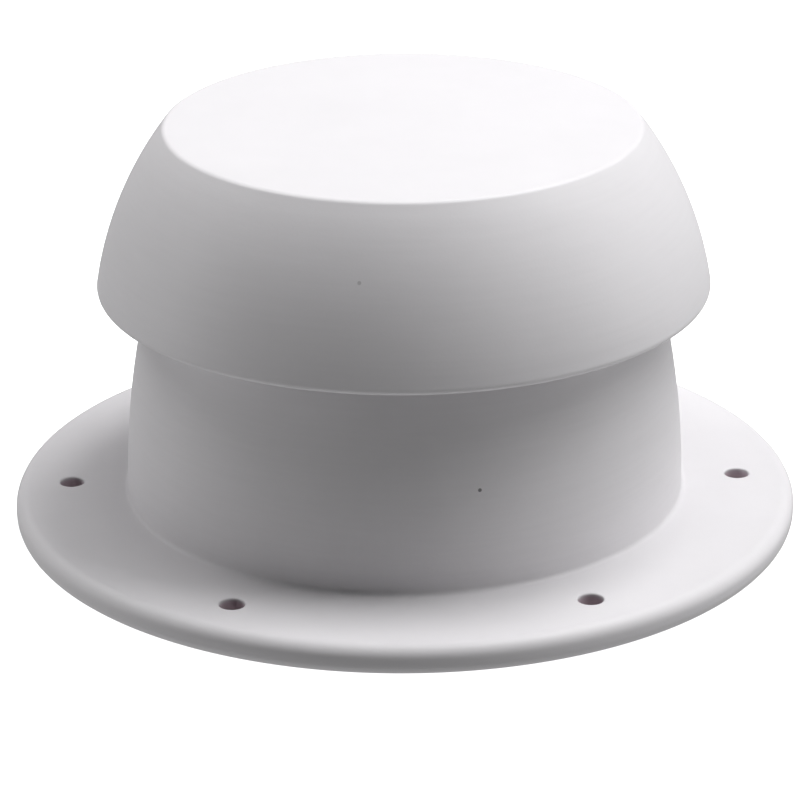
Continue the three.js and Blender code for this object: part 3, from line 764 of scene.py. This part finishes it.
class VENT_OT_cap_shell(bpy.types.Operator):
    """Builds the domed cap, with the bosses under its crown"""

    bl_idname = "vent.cap_shell"
    bl_label = "Cap Shell"

    def execute(self, context):
        sizes = context.scene.vent_sizes
        side = cap_side()
        low, high = span("cap_shell")
        under = high - side.wall
        rim, shoulder = sizes.rim_round, sizes.crown_round
        corners = [
            (0, under), *side.run(under, low + 2 * rim, 22, side.wall),
            (side.at(low, side.wall), low, sizes.rim_inner_round), (side.at(low), low, rim),
            *side.run(low + 2 * rim, high - 2 * shoulder, 56), (side.at(high), high, shoulder), (0, high),
        ]
        skin = Skin().turned(held(rounded(corners, steps=7)), FINE)
        boss_low, boss_high = span("closing_plate")[1] + FIT, under + side.wall / 2
        boss = ring_section(sizes.boss_radius * 0.46, sizes.boss_radius, boss_low, boss_high, 0.3 * MM)
        for node in copies("plate_screw"):
            skin.turned(boss, SMALL, closed=True, centre=centre_of(node))
        piece("cap_moulding", skin, "cap", "white_plastic", "cap_shell")
        return {"FINISHED"}


class VENT_OT_rubbers(bpy.types.Operator):
    """Builds the deck gasket, with two beads on its underside, and the closing seal"""

    bl_idname = "vent.rubbers"
    bl_label = "Gasket and Seal"

    def execute(self, context):
        low, high = span("deck_gasket")
        inner, outer = bore("deck_gasket"), reach("deck_gasket")
        bead = 0.25 * MM
        steps = np.linspace(0, 1, 41)
        heights = low + bead - bead * np.clip(-np.cos(steps * 4 * math.pi), 0, 1)
        under = list(zip(inner + (outer - inner) * steps, heights))
        section = rounded([*under, (outer, high, 0.3 * MM), (inner, high, 0.3 * MM)], closed=True, steps=3)
        gasket = Skin().turned(section, MEDIUM * 2, closed=True)
        piece("deck_gasket_ring", gasket, "base", "black_rubber", "deck_gasket")
        section = ring_section(bore("closing_seal"), reach("closing_seal"), *span("closing_seal"), 0.45 * MM)
        seal = Skin().turned(held(section, closed=True), MEDIUM * 2, closed=True)
        piece("closing_seal_ring", seal, "cap", "black_rubber", "closing_seal")
        return {"FINISHED"}


class VENT_OT_bridge(bpy.types.Operator):
    """Builds the three-armed bridge: ring, hub, arms, guide pads and screw pads"""

    bl_idname = "vent.bridge"
    bl_label = "Spider Bridge"

    def execute(self, context):
        sizes = context.scene.vent_sizes
        low, high = span("spider_bridge")
        outer = reach("spider_bridge")
        ring_low = high - sizes.bridge_ring_height
        hub_r = seat("hub_bush")[2] + FIT
        skin = Skin()
        for section in (
            ring_section(outer - sizes.bridge_ring_width, outer, ring_low, high, 0.5 * MM),
            ring_section(hub_r, hub_r + sizes.hub_wall, low, high, 0.6 * MM),
        ):
            skin.turned(held(section, closed=True), MEDIUM, closed=True)
        for bush, screw in zip(copies("guide_bush"), copies("bridge_screw")):
            radius, angle, _ = seat(bush)
            screw_circle = seat(screw)[0]
            bush_r, screw_r = own_bore(bush) + sizes.bush_wall + FIT, sizes.bridge_screw_hole
            pad = ring_section(bush_r, bush_r + sizes.guide_pad_wall, span(bush)[0], high, 0.4 * MM)
            skin.turned(pad, SMALL, closed=True, centre=on_circle(radius, angle))
            for start, end, arm_low in (
                (hub_r + 0.5 * MM, radius - bush_r - 0.4 * MM, high - sizes.arm_height),
                (radius + bush_r + 0.4 * MM, screw_circle - screw_r - MM, ring_low),
            ):
                add_block(skin, sizes.arm_width, start, end, arm_low, high - 0.1 * MM, angle, 0.5 * MM)
            pad_r = min(sizes.screw_pad_radius, outer - screw_circle)
            pad = ring_section(screw_r, pad_r, ring_low - 0.02 * MM, high - 0.05 * MM, 0.3 * MM)
            skin.turned(pad, SMALL, closed=True, centre=on_circle(screw_circle, angle))
        piece("spider_bridge_moulding", skin, "base", "white_plastic", "spider_bridge")
        return {"FINISHED"}


class VENT_OT_bushes(bpy.types.Operator):
    """Builds the hub bush, the flanged guide bushes and the two thrust washers"""

    bl_idname = "vent.bushes"
    bl_label = "Bushes and Washers"

    def execute(self, context):
        sizes = context.scene.vent_sizes
        for node, body, edge in (
            ("hub_bush", "base", 0.3 * MM),
            ("lower_thrust_washer", "drive", 0.2 * MM),
            ("upper_thrust_washer", "drive", 0.2 * MM),
        ):
            section = held(ring_section(bore(node), reach(node), *span(node), edge), closed=True)
            piece(node + "_turned", Skin().turned(section, MEDIUM, closed=True), body, "bush_plastic", node)
        for node in copies("guide_bush"):
            low, high = span(node)
            inner, flange_r = own_bore(node), seat(node)[2]
            body_r, flange_low = flange_r - sizes.bush_flange_width, high - sizes.bush_flange
            corners = [
                (inner, low, 0.25 * MM), (body_r, low, 0.3 * MM), (body_r, flange_low),
                (flange_r, flange_low, 0.15 * MM), (flange_r, high, 0.25 * MM), (inner, high, 0.3 * MM),
            ]
            section = rounded(corners, closed=True, steps=3)
            skin = Skin().turned(section, SMALL, closed=True, centre=centre_of(node))
            piece(node + "_turned", skin, "base", "bush_plastic", node)
        return {"FINISHED"}


def chords(radius, hole, offset):
    """The stretches of a straight line, that far from the middle, inside a disc and outside its eye."""
    end = math.sqrt(radius**2 - offset**2)
    if abs(offset) >= hole:
        return [(-end, end)]
    start = math.sqrt(hole**2 - offset**2)
    return [(-end, -start), (start, end)]


class VENT_OT_screen(bpy.types.Operator):
    """Weaves the insect screen from single wires between a bound edge and an eye, and builds its ring"""

    bl_idname = "vent.screen"
    bl_label = "Insect Screen"

    def execute(self, context):
        sizes = context.scene.vent_sizes
        low, high = span("insect_screen")
        eye, edge = bore("insect_screen"), reach("insect_screen")
        binding, eyelet = 2.2 * MM, 1.8 * MM
        skin = Skin()
        for inner, outer in ((edge - binding, edge), (eye, eye + eyelet)):
            skin.turned(ring_section(inner, outer, low, high, 0.2 * MM), MEDIUM, closed=True)
        wires_start, wires_end = eye + eyelet / 2, edge - 1.2 * MM
        lines = int((edge - 1.5 * MM) / sizes.mesh_pitch)
        for over in (0, 1):
            for line in range(-lines, lines + 1):
                for start, end in chords(wires_end, wires_start, line * sizes.mesh_pitch):
                    skin.swept(self.wire(line, over, start, end, low, high))
        piece("insect_screen_cloth", skin, "base", "wire_cloth", "insect_screen")
        self.ring(*span("screen_ring"), bore("screen_ring"), reach("screen_ring"))
        return {"FINISHED"}

    @staticmethod
    def wire(line, over, start, end, low, high):
        """A round wire whose height is a cosine of its length, half a wave for each wire that it crosses."""
        sizes = bpy.context.scene.vent_sizes
        pitch, wire = sizes.mesh_pitch, sizes.wire / 2
        around = TURN * np.arange(5) / 5
        t = np.linspace(start, end, max(int((end - start) / pitch * 4), 4))[:, None]
        wave = ((high - low) / 2 - wire) * (1 if (line + over) % 2 else -1)
        rise = (low + high) / 2 + wave * np.cos(t / pitch * math.pi)
        x, y, z = np.broadcast_arrays(t, line * pitch + wire * np.cos(around), rise + wire * np.sin(around))
        return np.stack([y, x, z] if over else [x, y, z], -1)

    @staticmethod
    def ring(low, high, inner, outer):
        """The screen's ring, with three finger tabs on its inner face."""

        def tabs(radius, height, angle):
            """Three windows in angle, each 0.32 radians wide, in which the inner face stands in."""
            lift = window(np.angle(np.exp(3j * (angle - math.pi / 6))) / 3, 0.16, 0.05)
            return radius - np.where(radius < inner + MM, 2.2 * MM, 0) * lift, height

        section = held(ring_section(inner, outer, low, high, 0.6 * MM), closed=True)
        skin = Skin().turned(section, FINE, tabs, closed=True)
        piece("screen_ring_moulding", skin, "base", "white_plastic", "screen_ring")


class VENT_OT_closing_plate(bpy.types.Operator):
    """Builds the closing plate with its sleeve and post sockets, and the knurled threaded insert"""

    bl_idname = "vent.closing_plate"
    bl_label = "Closing Plate and Insert"

    def execute(self, context):
        low, high = span("closing_plate")
        plate_low, outer = span("closing_seal")[1] + FIT, reach("closing_plate")
        insert_r, insert_high = reach("threaded_insert") + FIT, span("threaded_insert")[1] + SLACK
        sleeve_r = insert_r + context.scene.vent_sizes.sleeve_wall
        hole_r = bore("threaded_insert") + 0.4 * MM
        corners = [
            (hole_r, high, 0.4 * MM), (outer, high, 0.7 * MM), (outer, plate_low, 0.7 * MM),
            (sleeve_r, plate_low, 1.2 * MM), (sleeve_r, low, 0.5 * MM), (insert_r, low, 0.2 * MM),
            (insert_r, insert_high), (hole_r, insert_high),
        ]
        skin = Skin().turned(held(rounded(corners, closed=True), closed=True), MEDIUM * 2, closed=True)
        for node in copies("guide_post"):
            post_r = seat(node)[2] + FIT
            socket = ring_section(post_r, post_r + 2 * MM, plate_low - 8 * MM, plate_low + MM, 0.5 * MM)
            skin.turned(socket, SMALL, closed=True, centre=centre_of(node))
        piece("closing_plate_moulding", skin, "cap", "white_plastic", "closing_plate")
        self.insert(*span("threaded_insert"), bore("threaded_insert"), reach("threaded_insert"))
        return {"FINISHED"}

    @staticmethod
    def insert(low, high, inner, outer):
        """The insert, whose knurl is the product of two sets of grooves that climb to the left and right."""

        def knurl(r, z, a):
            diamonds = np.abs(np.sin(16 * a + z / MM * 2)) * np.abs(np.sin(16 * a - z / MM * 2))
            band = window(z - (low + high) / 2, (high - low) / 2 - MM, 0.5 * MM)
            return r - np.where(r > outer - 0.3 * MM, 0.25 * MM, 0) * (1 - diamonds) * band, z

        wall = [(outer, z) for z in np.linspace(low + 0.5 * MM, high - 0.5 * MM, 60)]
        corners = [(inner, low, 0.3 * MM), (outer, low, 0.2 * MM), *wall, (outer, high, 0.2 * MM)]
        corners += [(inner, high, 0.3 * MM)]
        skin = Skin().turned(rounded(corners, closed=True, steps=2), MEDIUM, knurl, closed=True)
        piece("threaded_insert_knurled", skin, "cap", "brass", "threaded_insert")


class VENT_OT_posts(bpy.types.Operator):
    """Builds the three guide posts"""

    bl_idname = "vent.posts"
    bl_label = "Guide Posts"

    def execute(self, context):
        for node in copies("guide_post"):
            section = held(rod_section(seat(node)[2], *span(node), 0.6 * MM))
            skin = Skin().turned(section, SMALL, centre=centre_of(node))
            piece(node + "_rod", skin, "cap", "stainless", node)
        return {"FINISHED"}


def screw_skin(node, head_corners, shank_r, recess):
    """A screw driven upwards: a cross recess, its head, and a shank with a thread that winds round it.

    The thread cuts the shank down to 0.78 of its radius between crests, except near its ends."""
    low, high = span(node)
    depth = pitch = 1.3 * MM
    shank_low = low + head_corners[-1][1]
    heights = np.linspace(shank_low + 0.3 * MM, high - shank_r, int((high - shank_low) / MM * 8))
    corners = [
        (0, low + depth), (recess * 0.9, low + depth), (recess, low),
        *[(r, low + z, *rest) for r, z, *rest in head_corners],
        *[(shank_r, z) for z in heights], (shank_r * 0.25, high), (0, high),
    ]

    def shape(r, z, a):
        r = r.copy()
        r[:2] = cross_outline(a[:2], recess * 0.95, recess * 0.3) * [[0.9], [1.0]]
        on_shank = (r <= shank_r + SAME) & (z > shank_low)
        on_shank[:2] = False
        threaded = window(z - (shank_low + high) / 2 - 0.4 * MM, (high - shank_low) / 2 - MM, MM)
        crest = (1 - np.clip(winding(z, a, pitch) * 1.6, 0, 1)) * threaded
        return np.where(on_shank, r * (0.78 + 0.22 * crest), r), z

    return Skin().turned(rounded(corners, steps=5), SMALL, shape, centre=centre_of(node))


class VENT_OT_screws(bpy.types.Operator):
    """Builds the bridge screws, the countersunk plate screws and the knob's screw"""

    bl_idname = "vent.screws"
    bl_label = "Screws"

    def execute(self, context):
        shank = 2 * MM
        pan_heads = [(node, "base", 2.4 * MM) for node in copies("bridge_screw")]
        for node, body, head in (*pan_heads, ("knob_screw", "drive", 2.1 * MM)):
            head_r = seat(node)[2]
            corners = [(head_r * 0.72, 0), (head_r, 0.25 * MM, 0.8 * MM)]
            corners += [(head_r, head, 0.15 * MM), (shank, head)]
            piece(node + "_pan", screw_skin(node, corners, shank, head_r * 0.6), body, "stainless", node)
        shank = 1.75 * MM
        for node in copies("plate_screw"):
            head_r = seat(node)[2]
            corners = [(head_r * 0.8, 0), (head_r, 0), (shank, 1.7 * MM)]
            skin = screw_skin(node, corners, shank, head_r * 0.6)
            piece(node + "_countersunk", skin, "cap", "stainless", node)
        return {"FINISHED"}


class VENT_OT_spindle(bpy.types.Operator):
    """Turns the spindle, with its drive flats, collar, circlip groove and lifting thread"""

    bl_idname = "vent.spindle"
    bl_label = "Spindle and Circlip"

    def execute(self, context):
        low, high = span("spindle")
        r, _, z = node_points("spindle")
        collar_r = r.max()
        collar = z[r > collar_r - 0.1 * MM]
        collar_low, collar_high = collar.min(), collar.max()
        rod_r = bore("threaded_insert") - 0.1 * MM
        groove_r = bore("circlip") - SLACK
        groove_low, groove_high = span("circlip")[0] - SLACK, span("circlip")[1] + SLACK
        tail_r, hole_r = r[z < low + MM].max(), r[z < low + SAME].min()
        screw_tip = span("knob_screw")[1] + SLACK
        thread_low = groove_high + 0.6 * MM
        corners = [
            (0, screw_tip), (hole_r, screw_tip - 0.8 * MM), (hole_r, low, 0.2 * MM), (tail_r, low, 0.5 * MM),
            (tail_r, collar_low), (collar_r, collar_low, 0.5 * MM), (collar_r, collar_high, 0.2 * MM),
            (rod_r, collar_high), (rod_r, groove_low), (groove_r, groove_low), (groove_r, groove_high),
            (rod_r, groove_high), *[(rod_r, z) for z in np.arange(thread_low, high - 0.8 * MM, 0.125 * MM)],
            (rod_r, high - 0.5 * MM), (rod_r * 0.86, high), (0, high),
        ]
        depth, flat = context.scene.vent_sizes.thread_depth, context.scene.vent_sizes.drive_flat
        pitch, tail_high = thread_pitch(), span("knob")[1] + SAME

        def shape(radius, height, angle):
            """Two flats on the tail; the thread's crest is below 0.36 of its wave, its root above 0.66."""
            tail = (height < tail_high) & (radius > hole_r + 0.1 * MM)
            radius = np.where(tail, np.minimum(radius, flat / divisor(np.sin(angle))), radius)
            cut = np.clip((winding(height, angle, pitch) - 0.36) / 0.3, 0, 1)
            run_in = np.clip((height - thread_low) / (1.5 * MM), 0, 1)
            threaded = (height > groove_high + 0.3 * MM) & (radius > rod_r * 0.9)
            return radius - depth * cut * run_in * threaded, height

        skin = Skin().turned(held(rounded(corners, steps=4)), MEDIUM // 2, shape)
        piece("spindle_turned", skin, "drive", "stainless", "spindle")
        self.circlip(bore("circlip"), reach("circlip"), *span("circlip"))
        return {"FINISHED"}

    @staticmethod
    def circlip(inner, outer, low, high):
        """A flat section with its edges broken, carried round from one side of the opening to the other.

        Its outer radius is least beside the ears and grows towards the middle of the clip."""
        half = np.abs(node_points("circlip")[1]).min()
        turn = np.linspace(half, TURN - half, 97)[:, None]
        ears = window(np.minimum(turn, TURN - turn) - half, 0.32, 0.1)
        band = inner + (outer - inner) * (0.55 + 0.45 * np.sin(turn / 2) ** 2)
        band = band + (outer - band) * ears
        edge = 0.12 * MM
        share = np.array([0, 0.08, 0.92, 1, 1, 0.92, 0.08, 0])
        height = np.array([low + edge, low, low, low + edge, high - edge, high, high, high - edge])
        r = inner + (band - inner) * share
        x, y, z = np.broadcast_arrays(r * np.cos(turn), r * np.sin(turn), height)
        piece("circlip_stamped", Skin().swept(np.stack([x, y, z], -1)), "drive", "stainless", "circlip")


class VENT_OT_knob(bpy.types.Operator):
    """Builds the five-lobed hand knob"""

    bl_idname = "vent.knob"
    bl_label = "Knob"

    def execute(self, context):
        sizes = context.scene.vent_sizes
        low, high = span("knob")
        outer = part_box("knob")[1].x
        hub, grip = sizes.knob_hub, low + sizes.knob_grip
        screw_r, recess = seat("knob_screw")[2] + 0.5 * MM, span("knob_screw")[0] + 2.4 * MM
        r, _, z = node_points("spindle")
        tail_r = r[z < low + 5 * MM].max() + FIT
        socket = span("spindle")[0] - SLACK
        corners = [
            (0, recess), (screw_r, recess), (screw_r, low + 0.5 * MM, 0.4 * MM),
            (screw_r + 1.6 * MM, low + 0.5 * MM, 0.4 * MM), (screw_r + 2.2 * MM, low, 0.5 * MM),
            (outer, low, 2.2 * MM), (outer, grip, 3.2 * MM), (hub + 2 * MM, grip - 0.6 * MM, 2 * MM),
            (hub, high - 1.5 * MM), (hub, high, 0.8 * MM),
            (tail_r, high, 0.3 * MM), (tail_r, socket), (0, socket),
        ]
        lobes, depth, flat = sizes.knob_lobes, sizes.lobe_depth, sizes.drive_flat + FIT

        def shape(r, z, a):
            """Hollows that follow a cosine of the angle and deepen outwards, and a socket with flats."""
            share = np.clip((r - hub - 2.5 * MM) / (outer - hub - 2.5 * MM), 0, 1)
            r = r - depth * share * (0.5 - 0.5 * np.cos(lobes * a))
            inside = (r < tail_r + 0.1 * MM) & (z > socket - SAME)
            return np.where(inside, np.minimum(r, flat / divisor(np.sin(a))), r), z

        skin = Skin().turned(held(rounded(corners, steps=7), gap=0.5 * MM), MEDIUM * 2, shape)
        piece("knob_moulding", skin, "drive", "knob_plastic", "knob")
        return {"FINISHED"}


# ---------------------------------------------------------------- stage


def area_light(name, azimuth, elevation, distance, width, power, colour, target):
    """A round soft light aimed at a point; azimuth 0 is +X and 90 is +Y, in degrees."""
    data = bpy.data.lights.new(name, "AREA")
    data.shape, data.size, data.energy, data.color = "DISK", width, power, colour
    light = bpy.data.objects.new(name, data)
    a, e = math.radians(azimuth), math.radians(elevation)
    back = Vector((math.cos(a) * math.cos(e), math.sin(a) * math.cos(e), math.sin(e)))
    light.location = target + back * distance
    light.rotation_mode = "QUATERNION"
    light.rotation_quaternion = back.to_track_quat("Z", "Y")
    light.visible_camera = False
    bpy.context.scene.collection.objects.link(light)


# Each lamp: azimuth and elevation of its place in degrees, distance and width in metres, power in watts.
LAMPS = {
    "key_right": (0, 48, 1.0, 0.55, 2.86),
    "high_right": (0, 66, 1.0, 0.4, 2.99),
    "overhead": (0, 90, 1.0, 0.4, 2.02),
    "back_right": (45, 66, 1.0, 0.4, 3.91),
    "back_left": (150, 48, 1.0, 0.55, 2.74),
    "low_right": (0, 6, 1.0, 0.55, 1.7),
    "low_left": (180, 6, 1.0, 0.55, 1.9),
}


class VENT_OT_stage(bpy.types.Operator):
    """Sets the floor, a dark disc under the vent that stands in for shade in the deck holes, the soft lamps,
    the sky and the camera
    """

    bl_idname = "vent.stage"
    bl_label = "Stage"

    def execute(self, context):
        view = context.scene.vent_stage
        context.scene.view_settings.view_transform = "Standard"
        low, high = CAD_BOX
        self.flat("floor", view.floor_size, 4, low.z - 0.2 * MM, tuple(view.floor), view.floor_glow)
        # A dark sheet hidden under the flange: it blocks the lower sky's light and shows as painted shade
        # through the deck holes.
        self.flat("shade_disc", high.x - 6 * MM, MEDIUM, low.z - 0.1 * MM, tuple(view.opening), 0)
        for name, lamp in LAMPS.items():
            area_light(name, *lamp, view.lamp_colour, Vector((0, 0, view.lamp_aim)))
        self.sky(view)
        self.camera(view)
        return {"FINISHED"}

    @staticmethod
    def flat(name, radius, sides, height, colour, glow):
        """A flat many-sided sheet. The sky's lower half stands in for the bounce of one that glows."""
        angles = TURN * (np.arange(sides) + 0.5) / sides
        points = np.stack([radius * np.cos(angles), radius * np.sin(angles), np.full(sides, height)], -1)
        mesh = bpy.data.meshes.new(name)
        mesh.from_pydata(points.tolist(), [], [tuple(range(sides))])
        sheet = bpy.data.objects.new(name, mesh)
        bpy.context.scene.collection.objects.link(sheet)
        f = Finish(name, Roughness=0.9, Specular_IOR_Level=0.1, Emission_Strength=glow)
        body = f.blend(f.noise(0.3, 2.0), tinted(colour, 0.985), colour)
        sheet.data.materials.append(f.shade(Base_Color=body, Emission_Color=body))
        sheet.visible_diffuse = sheet.visible_glossy = not glow

    @staticmethod
    def sky(view):
        """A dark studio above the horizon, and the floor's soft bounce below it. The camera sees it white."""
        world = bpy.data.worlds.new("studio")
        world.use_nodes = True
        tree = Tree(world.node_tree)
        where = tree.node("ShaderNodeTexCoord", output="Generated")
        height = tree.node("ShaderNodeSeparateXYZ", (), (where,), "Z")
        levels = {"Value": height, "From Min": 0.02, "From Max": -0.02, "To Min": 0, "To Max": view.bounce}
        below = tree.node("ShaderNodeMapRange", (), levels)
        seen = tree.node("ShaderNodeLightPath", output="Is Camera Ray")
        brightness = tree.node("ShaderNodeMath", {"operation": "MAXIMUM"}, (below, seen))
        background = tree.nodes["Background"]
        tree.put(background.inputs["Color"], (1, 1, 1))
        tree.put(background.inputs["Strength"], brightness)
        bpy.context.scene.world = world

    @staticmethod
    def camera(view):
        """Places the camera by its aim, elevation, distance and roll."""
        data = bpy.data.cameras.new("camera")
        data.lens, data.clip_start, data.clip_end = view.lens, 0.01, 20
        camera = bpy.data.objects.new("camera", data)
        roll = view.roll
        back = Vector((0, -math.cos(view.elevation), math.sin(view.elevation)))
        right = Vector((1, 0, 0))
        up = back.cross(right)
        across = right * math.cos(roll) + up * math.sin(roll)
        above = up * math.cos(roll) - right * math.sin(roll)
        place = Matrix((across, above, back)).transposed().to_4x4()
        place.translation = Vector(view.aim) + back * view.distance
        camera.matrix_world = place
        bpy.context.scene.collection.objects.link(camera)
        bpy.context.scene.camera = camera


# ---------------------------------------------------------------- settings and panel


def colour(name, description, *rgb):
    """A colour setting."""
    return FloatVectorProperty(name=name, description=description, subtype="COLOR", default=rgb, min=0, max=1)


def length(name, description, millimetres):
    """A length setting whose default is given in millimetres."""
    size = millimetres * MM
    return FloatProperty(name=name, description=description, default=size, min=0, unit="LENGTH", precision=5)


def angle(name, description, degrees):
    """An angle setting whose default is given in degrees."""
    return FloatProperty(name=name, description=description, subtype="ANGLE", default=math.radians(degrees))


def number(name, description, default, subtype="NONE"):
    """A plain number's setting."""
    return FloatProperty(name=name, description=description, default=default, min=0, subtype=subtype)


class VentLooks(bpy.types.PropertyGroup):
    """Colours and roughness of the finishes"""

    plastic: colour("Plastic", "White plastic's colour", 0.8, 0.785, 0.805)
    # Painted shade: the dark colour that the plastic inside the deck holes is given in place of their shade.
    bore: colour("Hole", "Colour of the white plastic inside the deck holes", 0.68, 0.57, 0.62)
    plastic_roughness: number("Plastic Roughness", "Roughness of the moulded plastic", 0.5, "FACTOR")
    knob: colour("Knob", "Knob's colour", 0.74, 0.74, 0.76)
    bush: colour("Bush", "Bushes' and washers' colour", 0.7, 0.66, 0.54)
    rubber: colour("Rubber", "Gasket's and seal's colour", 0.028, 0.028, 0.03)
    steel: colour("Steel", "Stainless steel's colour", 0.6, 0.61, 0.63)
    brass: colour("Brass", "Threaded insert's colour", 0.72, 0.52, 0.24)


class VentSizes(bpy.types.PropertyGroup):
    """Sizes of details that the CAD model leaves plain"""

    deck_holes: IntProperty(name="Deck Holes", description="Screw holes in the flange", default=6, min=2)
    hole_edge: length("Hole Edge", "Rounding of the deck holes' edges", 0.35)
    flange_top_round: length("Flange Top Round", "Rounding of the flange's upper edge", 2.6)
    flange_bottom_round: length("Flange Bottom Round", "Rounding of the flange's lower edge", 2.3)
    neck_fillet: length("Neck Fillet", "Fillet between the flange and the neck", 0.9)
    lip_round: length("Lip Round", "Rounding of the neck's lip", 0.7)
    rim_round: length("Rim Round", "Rounding of the cap's rim, outside", 2.0)
    rim_inner_round: length("Rim Inner Round", "Rounding of the cap's rim, inside", 0.3)
    crown_round: length("Crown Round", "Rounding of the crown's edge", 1.3)
    boss_radius: length("Boss Radius", "Radius of the bosses under the crown", 4.2)
    lug_radius: length("Lug Radius", "Radius of the lugs that the bridge is screwed to", 5)
    ribs: IntProperty(name="Ribs", description="Ribs that the insect screen stops against", default=6, min=3)
    rib_width: length("Rib Width", "Width of a rib", 2.5)
    rib_depth: length("Rib Depth", "How far a rib stands out", 2.4)
    pip_width: length("Pip Width", "Width of a pip under the screen's ring", 5)
    pip_height: length("Pip Height", "Height of a pip", 1.4)
    pip_depth: length("Pip Depth", "How far a pip stands out", 0.9)
    bridge_ring_height: length("Bridge Ring Height", "Height of the bridge's ring", 4)
    bridge_ring_width: length("Bridge Ring Width", "Width of the bridge's ring", 3.6)
    hub_wall: length("Hub Wall", "Wall of the bridge's hub", 3.4)
    guide_pad_wall: length("Guide Pad Wall", "Wall of the bridge's guide pads", 1.7)
    arm_width: length("Arm Width", "Width of the bridge's arms", 6)
    arm_height: length("Arm Height", "Height of the bridge's arms", 6)
    bridge_screw_hole: length("Bridge Screw Hole", "Radius of the bridge's screw holes", 2.2)
    screw_pad_radius: length("Screw Pad Radius", "Radius of the pads under the bridge's screws", 5.5)
    bush_wall: length("Bush Wall", "Wall of the guide bushes", 1.6)
    bush_flange: length("Bush Flange", "Thickness of the guide bushes' flanges", 0.8)
    bush_flange_width: length("Bush Flange Width", "How far the guide bushes' flanges stand out", 1.2)
    sleeve_wall: length("Sleeve Wall", "Wall of the closing plate's sleeve", 1.8)
    mesh_pitch: length("Mesh Pitch", "Distance between the screen's wires", 2.1)
    wire: length("Wire", "Diameter of the screen's wires", 0.38)
    thread_depth: length("Thread Depth", "Depth of the spindle's thread", 0.8)
    drive_flat: length("Drive Flat", "From the spindle's axis to each drive flat", 3.2)
    knob_hub: length("Knob Hub", "Radius of the knob's hub", 9)
    knob_grip: length("Knob Grip", "Height of the knob's lobed part", 9)
    knob_lobes: IntProperty(name="Knob Lobes", description="Lobes round the knob", default=5, min=3)
    lobe_depth: length("Lobe Depth", "Depth of the hollows between the knob's lobes", 2.2)
    speck: length("Speck", "Diameter of the dark specks in the moulding", 0.9)
    neck_speck_angle: angle("Neck Speck", "Where the neck's speck lies", -75.2)
    cap_speck_angle: angle("Cap Speck", "Where the cap's speck lies", -98.6)


class VentStage(bpy.types.PropertyGroup):
    """Floor, light and camera"""

    floor: colour("Floor", "Floor's colour", 0.9, 0.9, 0.9)
    floor_size: length("Floor Size", "The floor's radius", 12000)
    floor_glow: number("Floor Glow", "How far the floor is lit from below", 1.1)
    # The dark disc under the vent, whose colour stands in for shade in the deck holes.
    opening: colour("Opening", "Colour of the deck opening under the vent", 0.02, 0.02, 0.02)
    bounce: number("Bounce", "Brightness of the light from below the horizon", 0.46)
    lamp_aim: length("Lamp Aim", "Height that the lamps point at", 35)
    lamp_colour: colour("Lamp Colour", "The lamps' colour", 1, 1, 1)
    lens: number("Lens", "Focal length in millimetres", 162.6, "DISTANCE_CAMERA")
    elevation: angle("Elevation", "Camera's height above the horizon", 22.37)
    roll: angle("Roll", "Camera's roll", -0.34)
    distance: length("Distance", "Camera's distance from its aim", 717)
    aim: FloatVectorProperty(
        name="Aim",
        description="Point that the camera looks at",
        subtype="TRANSLATION",
        default=(-0.00088, 0, 0.0225),
    )


OPERATORS = (
    VENT_OT_deck_base,
    VENT_OT_cap_shell,
    VENT_OT_rubbers,
    VENT_OT_bridge,
    VENT_OT_bushes,
    VENT_OT_screen,
    VENT_OT_closing_plate,
    VENT_OT_posts,
    VENT_OT_screws,
    VENT_OT_spindle,
    VENT_OT_knob,
    VENT_OT_stage,
)


class VENT_PT_panel(bpy.types.Panel):
    """Lists the pieces in the order in which they are built"""

    bl_label = "Deck Vent"
    bl_idname = "VENT_PT_panel"
    bl_space_type = "VIEW_3D"
    bl_region_type = "UI"
    bl_category = "Deck Vent"

    def draw(self, context):
        for operator in OPERATORS:
            self.layout.operator(operator.bl_idname)
        for settings in (context.scene.vent_sizes, context.scene.vent_looks, context.scene.vent_stage):
            box = self.layout.box()
            for name in settings.bl_rna.properties.keys():
                if name not in ("rna_type", "name"):
                    box.prop(settings, name)


GROUPS = {"vent_looks": VentLooks, "vent_sizes": VentSizes, "vent_stage": VentStage}


def register():
    for group in GROUPS.values():
        bpy.utils.register_class(group)
    for name, group in GROUPS.items():
        setattr(bpy.types.Scene, name, PointerProperty(type=group))
    for operator in OPERATORS:
        bpy.utils.register_class(operator)
    bpy.utils.register_class(VENT_PT_panel)


def unregister():
    bpy.utils.unregister_class(VENT_PT_panel)
    for operator in reversed(OPERATORS):
        bpy.utils.unregister_class(operator)
    for name, group in GROUPS.items():
        delattr(bpy.types.Scene, name)
        bpy.utils.unregister_class(group)


def main():
    register()
    for operator in OPERATORS:
        group, name = operator.bl_idname.split(".")
        getattr(getattr(bpy.ops, group), name)()


if __name__ == "__main__":
    main()
